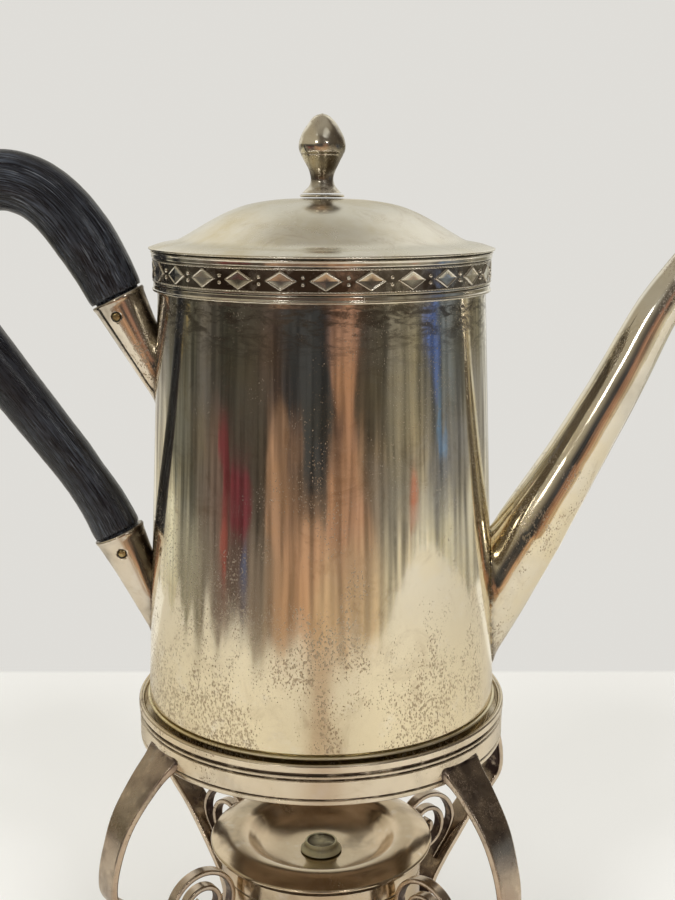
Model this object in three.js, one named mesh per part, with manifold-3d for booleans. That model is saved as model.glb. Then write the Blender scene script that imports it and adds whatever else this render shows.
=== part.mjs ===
// Silver coffee pot with its warming stand and burner.
// Millimetres, +Z up. The origin is on the pot's axis at table level, +X points to the spout
// and -X to the handle. Radii are measured from the axis, heights from the table.

import * as THREE from "three";
import { ConvexGeometry } from "three/addons/geometries/ConvexGeometry.js";
import * as BufferGeometryUtils from "three/addons/utils/BufferGeometryUtils.js";
import Module from "manifold-3d";

const wasm = await Module();
wasm.setup();

// ---------------------------------------------------------------- main dimensions

const RING_TOP = 112; // top edge of the stand's ring
const RING_RADIUS = 59; // outside of the ring
const RING_BAND_RADIUS = RING_RADIUS - 0.3; // its plain band, below the bead
const GAP = 0.3; // left between pieces that touch

const LARGE_TURN = 48; // facets round the large turned pieces
const SMALL_TURN = 20; // facets round the small ones
const BAR_SIDES = 18; // facets round the spout and the sockets

const BODY_FOOT = RING_TOP + 1.6; // lower edge of the pot's wall
const BODY_FOOT_RADIUS = 55.5;
const FOOT_INSET = 0.9; // the wall steps in where it enters the stand
const BODY_NECK = RING_TOP + 128; // where the frieze starts
const BODY_NECK_RADIUS = 50;
const BODY_TOP = RING_TOP + 141.3; // mouth of the pot
const BODY_WALL = 1.2;

const SEAT_TOP = RING_TOP - 5; // ledge inside the ring that carries the pot
const LID_RIM = BODY_TOP + GAP; // underside of the lid's rim

const DRUM_RADIUS = 33.2;
const COVER_RIM = RING_TOP - 52.5; // widest edge of the burner's cover
const TRAY_TOP = 22; // shelf that carries the burner
const DRUM_BOTTOM = TRAY_TOP + GAP;
const DRUM_FLOOR = DRUM_BOTTOM + 1.6;
const DRUM_TOP = COVER_RIM + 0.2;

const LEG_ANGLES = [-145.4, -44.6, 35.6, 136.2]; // degrees about +Z from +X
const LEG_NAMES = ["front_left", "front_right", "back_right", "back_left"];
const LEG_THICKNESS = 2.4;
const LEG_TOP_WIDTH = 15.5;
const LEG_LOW_WIDTH = 9.5;
const SCROLL_WIDTH = 3.8;
const SCROLL_THICKNESS = 1.7;

// ---------------------------------------------------------------- materials

const silver = { color: 0xd9d2c3, roughness: 0.22, metalness: 1 };
const darkSilver = { color: 0xb9ab98, roughness: 0.32, metalness: 1 };
const wood = { color: 0x1b1a1c, roughness: 0.45, metalness: 0 };
const brass = { color: 0xb08a4a, roughness: 0.35, metalness: 1 };
const cotton = { color: 0xd8cfb8, roughness: 0.95, metalness: 0 };

// ---------------------------------------------------------------- geometry helpers

const radians = THREE.MathUtils.degToRad;

/** Closed solid from a three.js geometry. */
function solidOf(geometry) {
  const bare = geometry.clone();
  bare.deleteAttribute("normal");
  bare.deleteAttribute("uv");
  const merged = BufferGeometryUtils.mergeVertices(bare, 1e-4);
  return new wasm.Manifold(
    new wasm.Mesh({
      numProp: 3,
      vertProperties: new Float32Array(merged.attributes.position.array),
      triVerts: new Uint32Array(merged.index.array),
    }),
  );
}

/** Closed solid whose faces are turned outward, whichever way its outline ran. */
function outwardSolid(geometry) {
  const solid = solidOf(geometry);
  if (solid.volume() > 0) {
    return solid;
  }
  const index = geometry.index.array;
  for (let i = 0; i < index.length; i += 3) {
    [index[i], index[i + 1]] = [index[i + 1], index[i]];
  }
  return solidOf(geometry);
}

/** three.js geometry of a closed solid. */
function geometryOf(solid) {
  const { vertProperties, triVerts } = solid.getMesh();
  const geometry = new THREE.BufferGeometry();
  geometry.setAttribute("position", new THREE.BufferAttribute(new Float32Array(vertProperties), 3));
  geometry.setIndex(new THREE.BufferAttribute(new Uint32Array(triVerts), 1));
  geometry.computeVertexNormals();
  return geometry;
}

/** Named mesh, turned about the pot's axis by some degrees. */
function piece(name, geometry, finish, degrees = 0) {
  const mesh = new THREE.Mesh(geometry, new THREE.MeshStandardMaterial(finish));
  mesh.name = name;
  mesh.rotation.z = radians(degrees);
  return mesh;
}

/** Turned solid from [radius, height] points that start and end on the axis, or close on themselves. */
function turned(profile, segments) {
  const first = profile[0];
  const last = profile[profile.length - 1];
  const onAxis = first[0] === 0 && last[0] === 0;
  const outline = onAxis ? profile : [...profile, first];
  const points = outline.map(([radius, height]) => new THREE.Vector2(radius, height));
  const geometry = new THREE.LatheGeometry(points, segments);
  geometry.rotateX(Math.PI / 2);
  return outwardSolid(geometry);
}

/** Skin over a row of closed rings of points, with flat ends. */
function skinned(rings) {
  const count = rings[0].length;
  const vertices = [];
  const triangles = [];
  for (const ring of rings) {
    for (const point of ring) {
      vertices.push(point.x, point.y, point.z);
    }
  }
  for (let i = 0; i + 1 < rings.length; i += 1) {
    for (let j = 0; j < count; j += 1) {
      const next = (j + 1) % count;
      const a = i * count + j;
      const b = i * count + next;
      triangles.push(a, b, a + count);
      triangles.push(b, b + count, a + count);
    }
  }
  const lastStart = (rings.length - 1) * count;
  for (let j = 1; j + 1 < count; j += 1) {
    triangles.push(0, j + 1, j);
    triangles.push(lastStart, lastStart + j, lastStart + j + 1);
  }
  const geometry = new THREE.BufferGeometry();
  geometry.setAttribute("position", new THREE.BufferAttribute(new Float32Array(vertices), 3));
  geometry.setIndex(triangles);
  return outwardSolid(geometry);
}

/** Evenly spread points on a smooth curve through [x, z] points. */
function curvePoints(points, count) {
  const curve = new THREE.CatmullRomCurve3(
    points.map(([x, z]) => new THREE.Vector3(x, 0, z)),
    false,
    "centripetal",
  );
  return curve.getSpacedPoints(count);
}

/** Unit vectors along a row of points in the XZ plane. */
function directions(points) {
  return points.map((point, i) => {
    const before = points[Math.max(i - 1, 0)];
    const after = points[Math.min(i + 1, points.length - 1)];
    return after.clone().sub(before).normalize();
  });
}

/** Flat bar along points in the XZ plane; width lies along Y. */
function strap(points, widthAt, thickness) {
  const along = directions(points);
  const rings = points.map((point, i) => {
    const side = new THREE.Vector3(-along[i].z, 0, along[i].x);
    const across = widthAt(i / (points.length - 1)) / 2;
    const deep = thickness / 2;
    const corners = [
      [across, -deep],
      [across, deep],
      [-across, deep],
      [-across, -deep],
    ];
    return corners.map(([y, offset]) => new THREE.Vector3(0, y, 0).add(point).addScaledVector(side, offset));
  });
  return skinned(rings);
}

/** Oval bar along points in the XZ plane; sizeAt gives [half depth in the plane, half width in Y]. */
function ovalBar(points, sizeAt, sides, squareness = 2) {
  const along = directions(points);
  const rings = points.map((point, i) => {
    const side = new THREE.Vector3(-along[i].z, 0, along[i].x);
    const [deep, across] = sizeAt(i / (points.length - 1));
    return Array.from({ length: sides }, (_, j) => {
      const angle = (2 * Math.PI * j) / sides;
      const bulge = (value) => Math.sign(value) * Math.abs(value) ** (2 / squareness);
      return point
        .clone()
        .addScaledVector(side, deep * bulge(Math.cos(angle)))
        .add(new THREE.Vector3(0, across * bulge(Math.sin(angle)), 0));
    });
  });
  return skinned(rings);
}

/** Value read off a table of [position, value] pairs by straight lines. */
function tabled(table) {
  return (t) => {
    const next = Math.max(
      table.findIndex(([position]) => position >= t),
      1,
    );
    const [t0, v0] = table[next - 1];
    const [t1, v1] = table[next];
    return THREE.MathUtils.mapLinear(t, t0, t1, v0, v1);
  };
}

/** Cylinder along Y. */
function crossPin(x, z, radius, length, segments = 12) {
  const geometry = new THREE.CylinderGeometry(radius, radius, length, segments);
  geometry.translate(x, 0, z);
  return solidOf(geometry);
}

// ---------------------------------------------------------------- pot body

/** Outside radius of the pot's wall. */
function bodyRadius(height) {
  return THREE.MathUtils.mapLinear(height, BODY_FOOT, BODY_NECK, BODY_FOOT_RADIUS, BODY_NECK_RADIUS);
}

/** The space the pot takes, grown by a clearance, for trimming what is soldered to its wall. */
function bodyEnvelope(clearance) {
  return turned(
    [
      [0, BODY_FOOT],
      [BODY_FOOT_RADIUS + clearance, BODY_FOOT],
      [BODY_NECK_RADIUS + clearance, BODY_NECK],
      [0, BODY_NECK],
    ],
    2 * LARGE_TURN,
  );
}

const STRAINER_HEIGHT = RING_TOP + 30; // middle of the holes behind the spout
const STRAINER_HOLE_RADIUS = 2.4;
const STRAINER_PITCH = 7;
const HOLE_LENGTH = 12; // runs well through the wall

/** One hole in the middle and a ring of six about it. */
function strainerHoles() {
  const places = [[0, 0]];
  for (let i = 0; i < 6; i += 1) {
    const angle = radians(60 * i);
    places.push([STRAINER_PITCH * Math.sin(angle), STRAINER_PITCH * Math.cos(angle)]);
  }
  const holes = places.map(([y, z]) => {
    const geometry = new THREE.CylinderGeometry(STRAINER_HOLE_RADIUS, STRAINER_HOLE_RADIUS, HOLE_LENGTH, 8);
    geometry.rotateZ(Math.PI / 2);
    geometry.translate(bodyRadius(STRAINER_HEIGHT), y, STRAINER_HEIGHT + z);
    return solidOf(geometry);
  });
  return wasm.Manifold.union(holes);
}

function potBody() {
  const shoulder = BODY_FOOT_RADIUS - FOOT_INSET;
  const profile = [
    [shoulder, SEAT_TOP + GAP],
    [shoulder, BODY_FOOT - 0.3],
    [BODY_FOOT_RADIUS, BODY_FOOT],
    [BODY_NECK_RADIUS, BODY_NECK],
    [BODY_NECK_RADIUS, BODY_TOP],
    [BODY_NECK_RADIUS - BODY_WALL, BODY_TOP],
    [BODY_NECK_RADIUS - BODY_WALL, BODY_NECK],
    [shoulder - BODY_WALL, BODY_FOOT],
    [shoulder - BODY_WALL, SEAT_TOP + GAP],
  ];
  return turned(profile, LARGE_TURN).subtract(strainerHoles());
}

function bodyBase() {
  const radius = BODY_FOOT_RADIUS - FOOT_INSET - BODY_WALL - GAP;
  const under = SEAT_TOP + 2.2;
  const top = under + BODY_WALL;
  return turned(
    [
      [0, under],
      [radius, under],
      [radius, top],
      [0, top],
    ],
    LARGE_TURN,
  );
}

/** Thin half-round wire lying around a wall. */
function wireAround(inner, outer, low, high) {
  const shoulder = THREE.MathUtils.lerp(inner, outer, 0.65);
  return turned(
    [
      [inner, low],
      [shoulder, low],
      [outer, (low + high) / 2],
      [shoulder, high],
      [inner, high],
    ],
    LARGE_TURN,
  );
}

function footWire() {
  const inner = BODY_FOOT_RADIUS - FOOT_INSET + GAP;
  return wireAround(inner, BODY_FOOT_RADIUS + 0.6, BODY_FOOT - 1.6, BODY_FOOT - 0.55);
}

// ---------------------------------------------------------------- frieze round the neck

const FRIEZE_LOW = RING_TOP + 131.9;
const FRIEZE_HIGH = RING_TOP + 139.1;
const FRIEZE_GROUND = 50.9; // radius of the sunk ground
const DIAMOND_COUNT = 26;
const FIRST_DIAMOND = -88.8; // degrees from +X, a hair to the right of the front's middle
const DIAMOND_HALF_WIDTH = 4.9;
const DIAMOND_HALF_HEIGHT = 2.9;
const DIAMOND_FACE = 0.86; // size of the bevelled face, as a share of the diamond's foot

function lowerBead() {
  return wireAround(BODY_NECK_RADIUS + GAP, 51.5, BODY_NECK + 1.4, FRIEZE_LOW - GAP);
}

function upperBead() {
  return wireAround(BODY_NECK_RADIUS + GAP, 51.9, FRIEZE_HIGH + GAP, BODY_TOP);
}

/** One raised diamond, wide along the wall, turned to its place. */
function diamond(degrees) {
  const middle = (FRIEZE_LOW + FRIEZE_HIGH) / 2 + 0.3;
  const baseRadius = FRIEZE_GROUND - 0.3;
  const faceRadius = FRIEZE_GROUND + 0.45;
  const tips = [
    [DIAMOND_HALF_WIDTH, 0],
    [0, DIAMOND_HALF_HEIGHT],
    [-DIAMOND_HALF_WIDTH, 0],
    [0, -DIAMOND_HALF_HEIGHT],
  ];
  const points = tips.flatMap(([y, z]) => {
    const bend = Math.hypot(baseRadius, y) - baseRadius;
    return [
      new THREE.Vector3(baseRadius - bend, y, middle + z),
      new THREE.Vector3(faceRadius - bend, y * DIAMOND_FACE, middle + z * DIAMOND_FACE),
    ];
  });
  points.push(new THREE.Vector3(faceRadius, 0, middle));
  const geometry = new ConvexGeometry(points);
  geometry.rotateZ(radians(degrees));
  return solidOf(geometry);
}

function friezeBand() {
  const rail = 0.35; // how far the plain rails stand out
  const inner = BODY_NECK_RADIUS + GAP;
  const ground = turned(
    [
      [inner, FRIEZE_LOW],
      [FRIEZE_GROUND + rail, FRIEZE_LOW],
      [FRIEZE_GROUND + rail, FRIEZE_LOW + 0.9],
      [FRIEZE_GROUND, FRIEZE_LOW + 1.1],
      [FRIEZE_GROUND, FRIEZE_HIGH - 0.5],
      [FRIEZE_GROUND + rail, FRIEZE_HIGH - 0.4],
      [FRIEZE_GROUND + rail, FRIEZE_HIGH],
      [inner, FRIEZE_HIGH],
    ],
    LARGE_TURN,
  );
  const pitch = 360 / DIAMOND_COUNT;
  const diamonds = Array.from({ length: DIAMOND_COUNT }, (_, i) => diamond(FIRST_DIAMOND + i * pitch));
  return wasm.Manifold.union([ground, ...diamonds]);
}

// ---------------------------------------------------------------- lid

/** Height of the lid's outer face above its rim, by radius. */
const LID_FACE = [
  [52.5, 0.55],
  [49, 1.7],
  [44, 2.7],
  [40, 4.8],
  [34, 8.3],
  [28, 11.3],
  [22, 13.3],
  [14, 14.6],
];
const LID_CROWN = 15.1;
const LID_SHEET = 0.9;

function lidDome() {
  const outer = LID_FACE.map(([radius, rise]) => [radius, LID_RIM + rise]);
  const inner = LID_FACE.slice(2).map(([radius, rise]) => [radius - 0.2, LID_RIM + rise - LID_SHEET]);
  return turned(
    [
      [0, LID_RIM + LID_CROWN - LID_SHEET],
      ...inner.reverse(),
      [51.6, LID_RIM],
      [52.4, LID_RIM],
      ...outer,
      [0, LID_RIM + LID_CROWN],
    ],
    LARGE_TURN,
  );
}

function lidBezel() {
  const outer = BODY_NECK_RADIUS - BODY_WALL - 0.6;
  const high = LID_RIM + 0.75;
  return turned(
    [
      [outer, high - 6.5],
      [outer, high],
      [outer - 0.8, high],
      [outer - 0.8, high - 6.5],
    ],
    LARGE_TURN,
  );
}

const FINIAL_BASE_LOW = LID_RIM + LID_CROWN + GAP;

function finialBase() {
  return turned(
    [
      [0, FINIAL_BASE_LOW],
      [6.4, FINIAL_BASE_LOW],
      [6.9, FINIAL_BASE_LOW + 0.35],
      [6.4, FINIAL_BASE_LOW + 0.8],
      [0, FINIAL_BASE_LOW + 0.8],
    ],
    SMALL_TURN,
  );
}

function finial() {
  const foot = FINIAL_BASE_LOW + 0.8 + GAP;
  const outline = [
    [6.1, 0],
    [5.3, 1],
    [4.0, 2.4],
    [3.55, 4.3],
    [4.2, 6.8],
    [5.8, 9.9],
    [6.9, 12.1],
    [7.25, 14.1],
    [6.9, 15.9],
    [5.9, 18.2],
    [4.5, 20.4],
    [2.4, 22.7],
  ];
  return turned([[0, foot], ...outline.map(([r, z]) => [r, foot + z]), [0, foot + 23.6]], SMALL_TURN);
}

// ---------------------------------------------------------------- spout

const SPOUT_LINE = [
  [44, RING_TOP + 13],
  [54, RING_TOP + 30],
  [66.6, RING_TOP + 53.7],
  [78.5, RING_TOP + 74.8],
  [91.5, RING_TOP + 99],
  [103.4, RING_TOP + 123],
  [113.5, RING_TOP + 137.5],
  [125.5, RING_TOP + 149],
];
const SPOUT_SIZES = [
  [0, 11.2],
  [0.29, 11.1],
  [0.45, 9.2],
  [0.79, 6.9],
  [0.85, 6.3],
  [1, 6.2],
];
const SPOUT_ROUNDNESS = 0.92; // width over depth
const SPOUT_WALL = 1.1;
const MOUTH_HEIGHT = RING_TOP + 147;

/** Solid spout, thinner by a wall when asked. */
function spoutBar(inset) {
  const depth = tabled(SPOUT_SIZES);
  const points = curvePoints(SPOUT_LINE, 14);
  return ovalBar(points, (t) => [depth(t) - inset, (depth(t) - inset) * SPOUT_ROUNDNESS], BAR_SIDES);
}

function spout() {
  const above = new THREE.BoxGeometry(80, 80, 60);
  above.translate(130, 0, MOUTH_HEIGHT + 30);
  return spoutBar(0).subtract(spoutBar(SPOUT_WALL)).subtract(bodyEnvelope(GAP)).subtract(solidOf(above));
}

// ---------------------------------------------------------------- handle and its sockets

const SOCKET_WALL = 1.1;
const TENON_DEPTH = 9.5;
const TENON_ROOT = 3; // how far the tenon runs into the wooden loop
const RIVET_RADIUS = 1.3;
const RIVET_INSET = 0.4; // how much narrower than the mouth the socket is where the rivets cross it
const RIVET_HOLE_LENGTH = 40; // runs right through socket and tenon

/** A silver ferrule: its middle line from the pot's wall to its mouth, and the half sizes of its ends. */
const UPPER_SOCKET = {
  line: [
    [-45, RING_TOP + 90.9],
    [-50.9, RING_TOP + 102.9],
    [-56.7, RING_TOP + 114.8],
    [-62.6, RING_TOP + 126.8],
  ],
  root: [3.75, 5.2],
  mouth: [8.4, 7.3],
  rivet: [5.1, 2], // below the mouth, and outward from the middle line
};
const LOWER_SOCKET = {
  line: [
    [-50.5, RING_TOP + 19.1],
    [-55, RING_TOP + 30.3],
    [-59.5, RING_TOP + 41.4],
    [-64.45, RING_TOP + 52.3],
  ],
  root: [3.6, 4.8],
  mouth: [8.1, 6.9],
  rivet: [5.7, 0.7],
};

/** Half depth and half width of a socket along its line. */
function socketSize(socket) {
  return (t) => [0, 1].map((i) => THREE.MathUtils.lerp(socket.root[i], socket.mouth[i], t));
}

/** Half sizes inside a socket's wall, from a depth below its mouth to a little beyond it. */
function insideSize(socket, depth, beyond, clearance) {
  const [root, mouth] = [socket.line.at(0), socket.line.at(-1)];
  const length = Math.hypot(mouth[0] - root[0], mouth[1] - root[1]);
  const size = socketSize(socket);
  return (t) => {
    const place = THREE.MathUtils.mapLinear(t, 0, 1, 1 - depth / length, 1 + beyond / length);
    return size(place).map((value) => value - SOCKET_WALL - clearance);
  };
}

/** The socket's last stretch, for its cavity and for the tenon that fills it. */
function tenonPoints(socket, depth, beyond) {
  const mouth = new THREE.Vector3(socket.line.at(-1)[0], 0, socket.line.at(-1)[1]);
  const before = new THREE.Vector3(socket.line.at(-2)[0], 0, socket.line.at(-2)[1]);
  const out = mouth.clone().sub(before).normalize();
  return [mouth.clone().addScaledVector(out, -depth), mouth.clone().addScaledVector(out, beyond)];
}

function rivetPlace(socket) {
  const [below, outward] = socket.rivet;
  const [place, mouth] = tenonPoints(socket, below, 0);
  const out = mouth.clone().sub(place).normalize();
  return place.add(new THREE.Vector3(-out.z, 0, out.x).multiplyScalar(outward));
}

function socketPiece(socket) {
  const bar = ovalBar(curvePoints(socket.line, 6), socketSize(socket), BAR_SIDES);
  const cavity = ovalBar(
    tenonPoints(socket, TENON_DEPTH, 2),
    insideSize(socket, TENON_DEPTH, 2, 0),
    BAR_SIDES,
  );
  const rivet = rivetPlace(socket);
  return bar
    .subtract(bodyEnvelope(GAP))
    .subtract(cavity)
    .subtract(crossPin(rivet.x, rivet.z, RIVET_RADIUS + GAP, RIVET_HOLE_LENGTH));
}

function rivetPiece(socket) {
  const place = rivetPlace(socket);
  return crossPin(place.x, place.z, RIVET_RADIUS, 2 * (socket.mouth[1] - RIVET_INSET), 12);
}

/** The wooden loop's middle line, from the upper mouth round to the lower one. */
const HANDLE_LINE = [
  [-62.9, RING_TOP + 127.3],
  [-68.3, RING_TOP + 138],
  [-75.2, RING_TOP + 148.6],
  [-82.2, RING_TOP + 156.2],
  [-89.5, RING_TOP + 160.4],
  [-98, RING_TOP + 161.6],
  [-110, RING_TOP + 158.2],
  [-118.6, RING_TOP + 149.6],
  [-121.2, RING_TOP + 138.5],
  [-117, RING_TOP + 126.5],
  [-105.5, RING_TOP + 111.8],
  [-95.8, RING_TOP + 99.4],
  [-87, RING_TOP + 87.6],
  [-77.9, RING_TOP + 75.2],
  [-69.8, RING_TOP + 62.7],
  [-64.8, RING_TOP + 52.8],
];
const HANDLE_DEPTHS = [
  [0, 8.6],
  [0.1, 9.6],
  [0.22, 9.3],
  [0.4, 9.2],
  [0.55, 9.6],
  [0.72, 7.9],
  [0.9, 7.2],
  [1, 7.8],
];
const HANDLE_FLATNESS = 0.8; // width over depth

function woodHandle() {
  const depth = tabled(HANDLE_DEPTHS);
  const loop = ovalBar(curvePoints(HANDLE_LINE, 40), (t) => [depth(t), depth(t) * HANDLE_FLATNESS], 12, 2.3);
  const solids = [loop];
  for (const socket of [UPPER_SOCKET, LOWER_SOCKET]) {
    const depth = TENON_DEPTH - GAP;
    const points = tenonPoints(socket, depth, TENON_ROOT);
    solids.push(ovalBar(points, insideSize(socket, depth, TENON_ROOT, GAP), BAR_SIDES));
  }
  let handle = wasm.Manifold.union(solids);
  for (const socket of [UPPER_SOCKET, LOWER_SOCKET]) {
    const place = rivetPlace(socket);
    handle = handle.subtract(crossPin(place.x, place.z, RIVET_RADIUS + GAP, RIVET_HOLE_LENGTH));
  }
  return handle;
}

// ---------------------------------------------------------------- stand

function standRing() {
  const groove = RING_BAND_RADIUS - 0.45;
  const bore = 57;
  const ledgeBore = 52.5;
  const ledgeUnder = SEAT_TOP - 1.2;
  const low = RING_TOP - 12.5;
  const outside = [
    [57.1, RING_TOP - 0.4],
    [58, RING_TOP],
    [RING_RADIUS, RING_TOP - 1],
    [RING_RADIUS, RING_TOP - 2.2],
    [groove, RING_TOP - 3.1],
    [RING_BAND_RADIUS, RING_TOP - 3.6],
    [RING_BAND_RADIUS, low],
  ];
  const inside = [
    [bore, low],
    [bore, ledgeUnder],
    [ledgeBore, ledgeUnder],
    [ledgeBore, SEAT_TOP],
    [bore, SEAT_TOP],
  ];
  return turned([...outside, ...inside], LARGE_TURN);
}

/** Middle line of a leg in its own upright plane: radius and height. */
const LEG_LINE = [
  [57.2, RING_TOP - 8.4],
  [64.6, RING_TOP - 15.8],
  [71.8, RING_TOP - 25.6],
  [75.7, RING_TOP - 35.3],
  [77.6, RING_TOP - 44],
  [76.9, RING_TOP - 50.2],
  [71.5, RING_TOP - 55.8],
  [64.2, RING_TOP - 62],
  [57.7, RING_TOP - 69.2],
  [51.7, RING_TOP - 76.2],
  [46.7, RING_TOP - 83.2],
  [43.8, RING_TOP - 91],
  [43.6, RING_TOP - 99],
  [46.4, RING_TOP - 106.3],
];
const TOE = [
  [52, LEG_THICKNESS / 2],
  [60, LEG_THICKNESS / 2],
];

const LEG_WIDTHS = [
  [0, LEG_TOP_WIDTH],
  [0.35, LEG_LOW_WIDTH],
  [1, LEG_LOW_WIDTH],
];

function leg() {
  const points = curvePoints([...LEG_LINE, ...TOE], 28);
  const ringSpace = turned(
    [
      [0, RING_TOP - 20],
      [RING_BAND_RADIUS + GAP, RING_TOP - 20],
      [RING_BAND_RADIUS + GAP, RING_TOP],
      [0, RING_TOP],
    ],
    2 * LARGE_TURN,
  );
  const floor = new THREE.BoxGeometry(200, 200, 20);
  floor.translate(0, 0, -10);
  return strap(points, tabled(LEG_WIDTHS), LEG_THICKNESS).subtract(ringSpace).subtract(solidOf(floor));
}

const SCROLL_CENTRE = [45, RING_TOP - 62.8];
const SCROLL_START_RADIUS = 1.6;
const SCROLL_PITCH = 5.1; // growth of the radius in one turn
const SCROLL_TURNS = 2.1;
const SCROLL_TAIL = [
  [56.7, RING_TOP - 65.6],
  [54.5, RING_TOP - 69.4],
  [51, RING_TOP - 73.5],
  [48.5, RING_TOP - 76.5],
];

/** Strap that winds outward clockwise from its eye, then runs down the leg's inner face. */
function scroll() {
  const steps = 40;
  const coil = Array.from({ length: steps + 1 }, (_, i) => {
    const turns = (SCROLL_TURNS * i) / steps;
    const angle = 2 * Math.PI * (SCROLL_TURNS - turns);
    const radius = SCROLL_START_RADIUS + SCROLL_PITCH * turns;
    return new THREE.Vector3(
      SCROLL_CENTRE[0] + radius * Math.cos(angle),
      0,
      SCROLL_CENTRE[1] + radius * Math.sin(angle),
    );
  });
  const tail = SCROLL_TAIL.map(([x, z]) => new THREE.Vector3(x, 0, z));
  return strap([...coil, ...tail], () => SCROLL_WIDTH, SCROLL_THICKNESS);
}

function burnerTray() {
  const low = TRAY_TOP - 1.6;
  return turned(
    [
      [25, low],
      [42, low],
      [42, TRAY_TOP + 2.2],
      [41, TRAY_TOP + 2.2],
      [41, TRAY_TOP],
      [25, TRAY_TOP],
    ],
    LARGE_TURN,
  );
}

// ---------------------------------------------------------------- burner

function burnerDrum() {
  const wall = 1;
  return turned(
    [
      [0, DRUM_BOTTOM],
      [DRUM_RADIUS - 1.2, DRUM_BOTTOM],
      [DRUM_RADIUS, DRUM_BOTTOM + 1.2],
      [DRUM_RADIUS, DRUM_TOP],
      [DRUM_RADIUS - wall, DRUM_TOP],
      [DRUM_RADIUS - wall, DRUM_FLOOR],
      [0, DRUM_FLOOR],
    ],
    LARGE_TURN,
  );
}

const WICK_BORE = 4;

function wickHolder() {
  const low = DRUM_FLOOR + GAP;
  return turned(
    [
      [WICK_BORE, low + 16],
      [WICK_BORE + 1, low + 16],
      [WICK_BORE + 1, low + 1.4],
      [12, low + 1.2],
      [12, low],
      [WICK_BORE, low],
    ],
    SMALL_TURN,
  );
}

function wick() {
  const low = DRUM_FLOOR + GAP;
  const radius = WICK_BORE - GAP;
  return turned(
    [
      [0, low],
      [radius, low],
      [radius, low + 17.5],
      [radius - 1, low + 18.4],
      [0, low + 18.8],
    ],
    SMALL_TURN,
  );
}

/** Dished cover with a rolled edge and a short skirt that fits over the drum. */
function burnerCover() {
  const face = [
    [34.6, -2.8],
    [34.6, -1.5],
    [36.9, -0.6],
    [36.4, 0.5],
    [31, 2.3],
    [26.6, 2],
    [23, -0.4],
    [19, -3.6],
    [11, -5.7],
  ];
  const under = [
    [11.2, -6.6],
    [19.4, -4.5],
    [24, -0.9],
    [27, 1.1],
    [31, 1.4],
    [33.8, 0.7],
    [33.8, -2.8],
  ];
  const crown = -5.8;
  const lift = ([radius, rise]) => [radius, COVER_RIM + rise];
  return turned(
    [[0, COVER_RIM + crown - 0.9], ...under.map(lift), ...face.map(lift), [0, COVER_RIM + crown]],
    LARGE_TURN,
  );
}

/** Button in the dish that the cover is lifted by. */
function coverKnob() {
  const low = COVER_RIM - 5.8 + GAP;
  return turned(
    [
      [0, low],
      [6.9, low],
      [6.6, low + 0.8],
      [5.5, low + 1.8],
      [5.4, low + 3.2],
      [4.6, low + 3.2],
      [4.6, low + 2.6],
      [0, low + 2.6],
    ],
    SMALL_TURN,
  );
}

// ---------------------------------------------------------------- assembly

const coffeePot = new THREE.Group();
coffeePot.name = "coffee_pot_on_stand";

function addPiece(name, solid, finish) {
  coffeePot.add(piece(name, geometryOf(solid), finish));
}

addPiece("stand_ring", standRing(), darkSilver);
const legGeometry = geometryOf(leg());
const scrollGeometry = geometryOf(scroll());
LEG_NAMES.forEach((side, i) => {
  coffeePot.add(piece(`leg_${side}`, legGeometry, darkSilver, LEG_ANGLES[i]));
  coffeePot.add(piece(`scroll_${side}`, scrollGeometry, darkSilver, LEG_ANGLES[i]));
});
addPiece("burner_tray", burnerTray(), darkSilver);

addPiece("burner_drum", burnerDrum(), darkSilver);
addPiece("wick_holder", wickHolder(), brass);
addPiece("wick", wick(), cotton);
addPiece("burner_cover", burnerCover(), silver);
addPiece("cover_knob", coverKnob(), silver);

addPiece("pot_body", potBody(), silver);
addPiece("body_base", bodyBase(), silver);
addPiece("foot_wire", footWire(), silver);
addPiece("lower_bead", lowerBead(), silver);
addPiece("frieze_band", friezeBand(), silver);
addPiece("upper_bead", upperBead(), silver);
addPiece("spout", spout(), silver);
addPiece("upper_socket", socketPiece(UPPER_SOCKET), silver);
addPiece("lower_socket", socketPiece(LOWER_SOCKET), silver);
addPiece("upper_rivet", rivetPiece(UPPER_SOCKET), brass);
addPiece("lower_rivet", rivetPiece(LOWER_SOCKET), brass);
addPiece("wood_handle", woodHandle(), wood);

addPiece("lid_dome", lidDome(), silver);
addPiece("lid_bezel", lidBezel(), silver);
addPiece("finial_base", finialBase(), silver);
addPiece("finial", finial(), silver);

export default coffeePot;
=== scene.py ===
import math

import bpy
from mathutils import Matrix, Vector, noise


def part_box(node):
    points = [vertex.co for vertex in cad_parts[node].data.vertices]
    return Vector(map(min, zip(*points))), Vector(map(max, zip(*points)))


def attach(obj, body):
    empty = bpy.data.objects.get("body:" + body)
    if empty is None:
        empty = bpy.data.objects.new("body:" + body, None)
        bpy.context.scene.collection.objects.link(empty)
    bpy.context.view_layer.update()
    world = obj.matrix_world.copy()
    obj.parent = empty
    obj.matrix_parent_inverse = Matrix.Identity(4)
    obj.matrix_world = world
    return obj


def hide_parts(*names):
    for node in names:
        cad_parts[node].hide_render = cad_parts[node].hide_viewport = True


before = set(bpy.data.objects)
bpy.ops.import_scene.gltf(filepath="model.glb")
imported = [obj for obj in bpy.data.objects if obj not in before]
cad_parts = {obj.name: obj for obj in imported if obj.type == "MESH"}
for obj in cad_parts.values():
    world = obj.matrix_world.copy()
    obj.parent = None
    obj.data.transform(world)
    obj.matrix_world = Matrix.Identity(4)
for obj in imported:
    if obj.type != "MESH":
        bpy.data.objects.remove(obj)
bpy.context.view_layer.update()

# Looks of the silver coffee pot on its warming stand, built round the imported CAD model.
# Outlines are in millimetres in the row frame: (radius from the pot's axis, height from the table,
# darkening), with the darkening, from 0 to 1, left out where there is none. The darkening is dark oxide and
# painted shade in creases, hollows, undersides and joints.

MM = 0.001
GAP = 0.3  # left between pieces that touch


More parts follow.
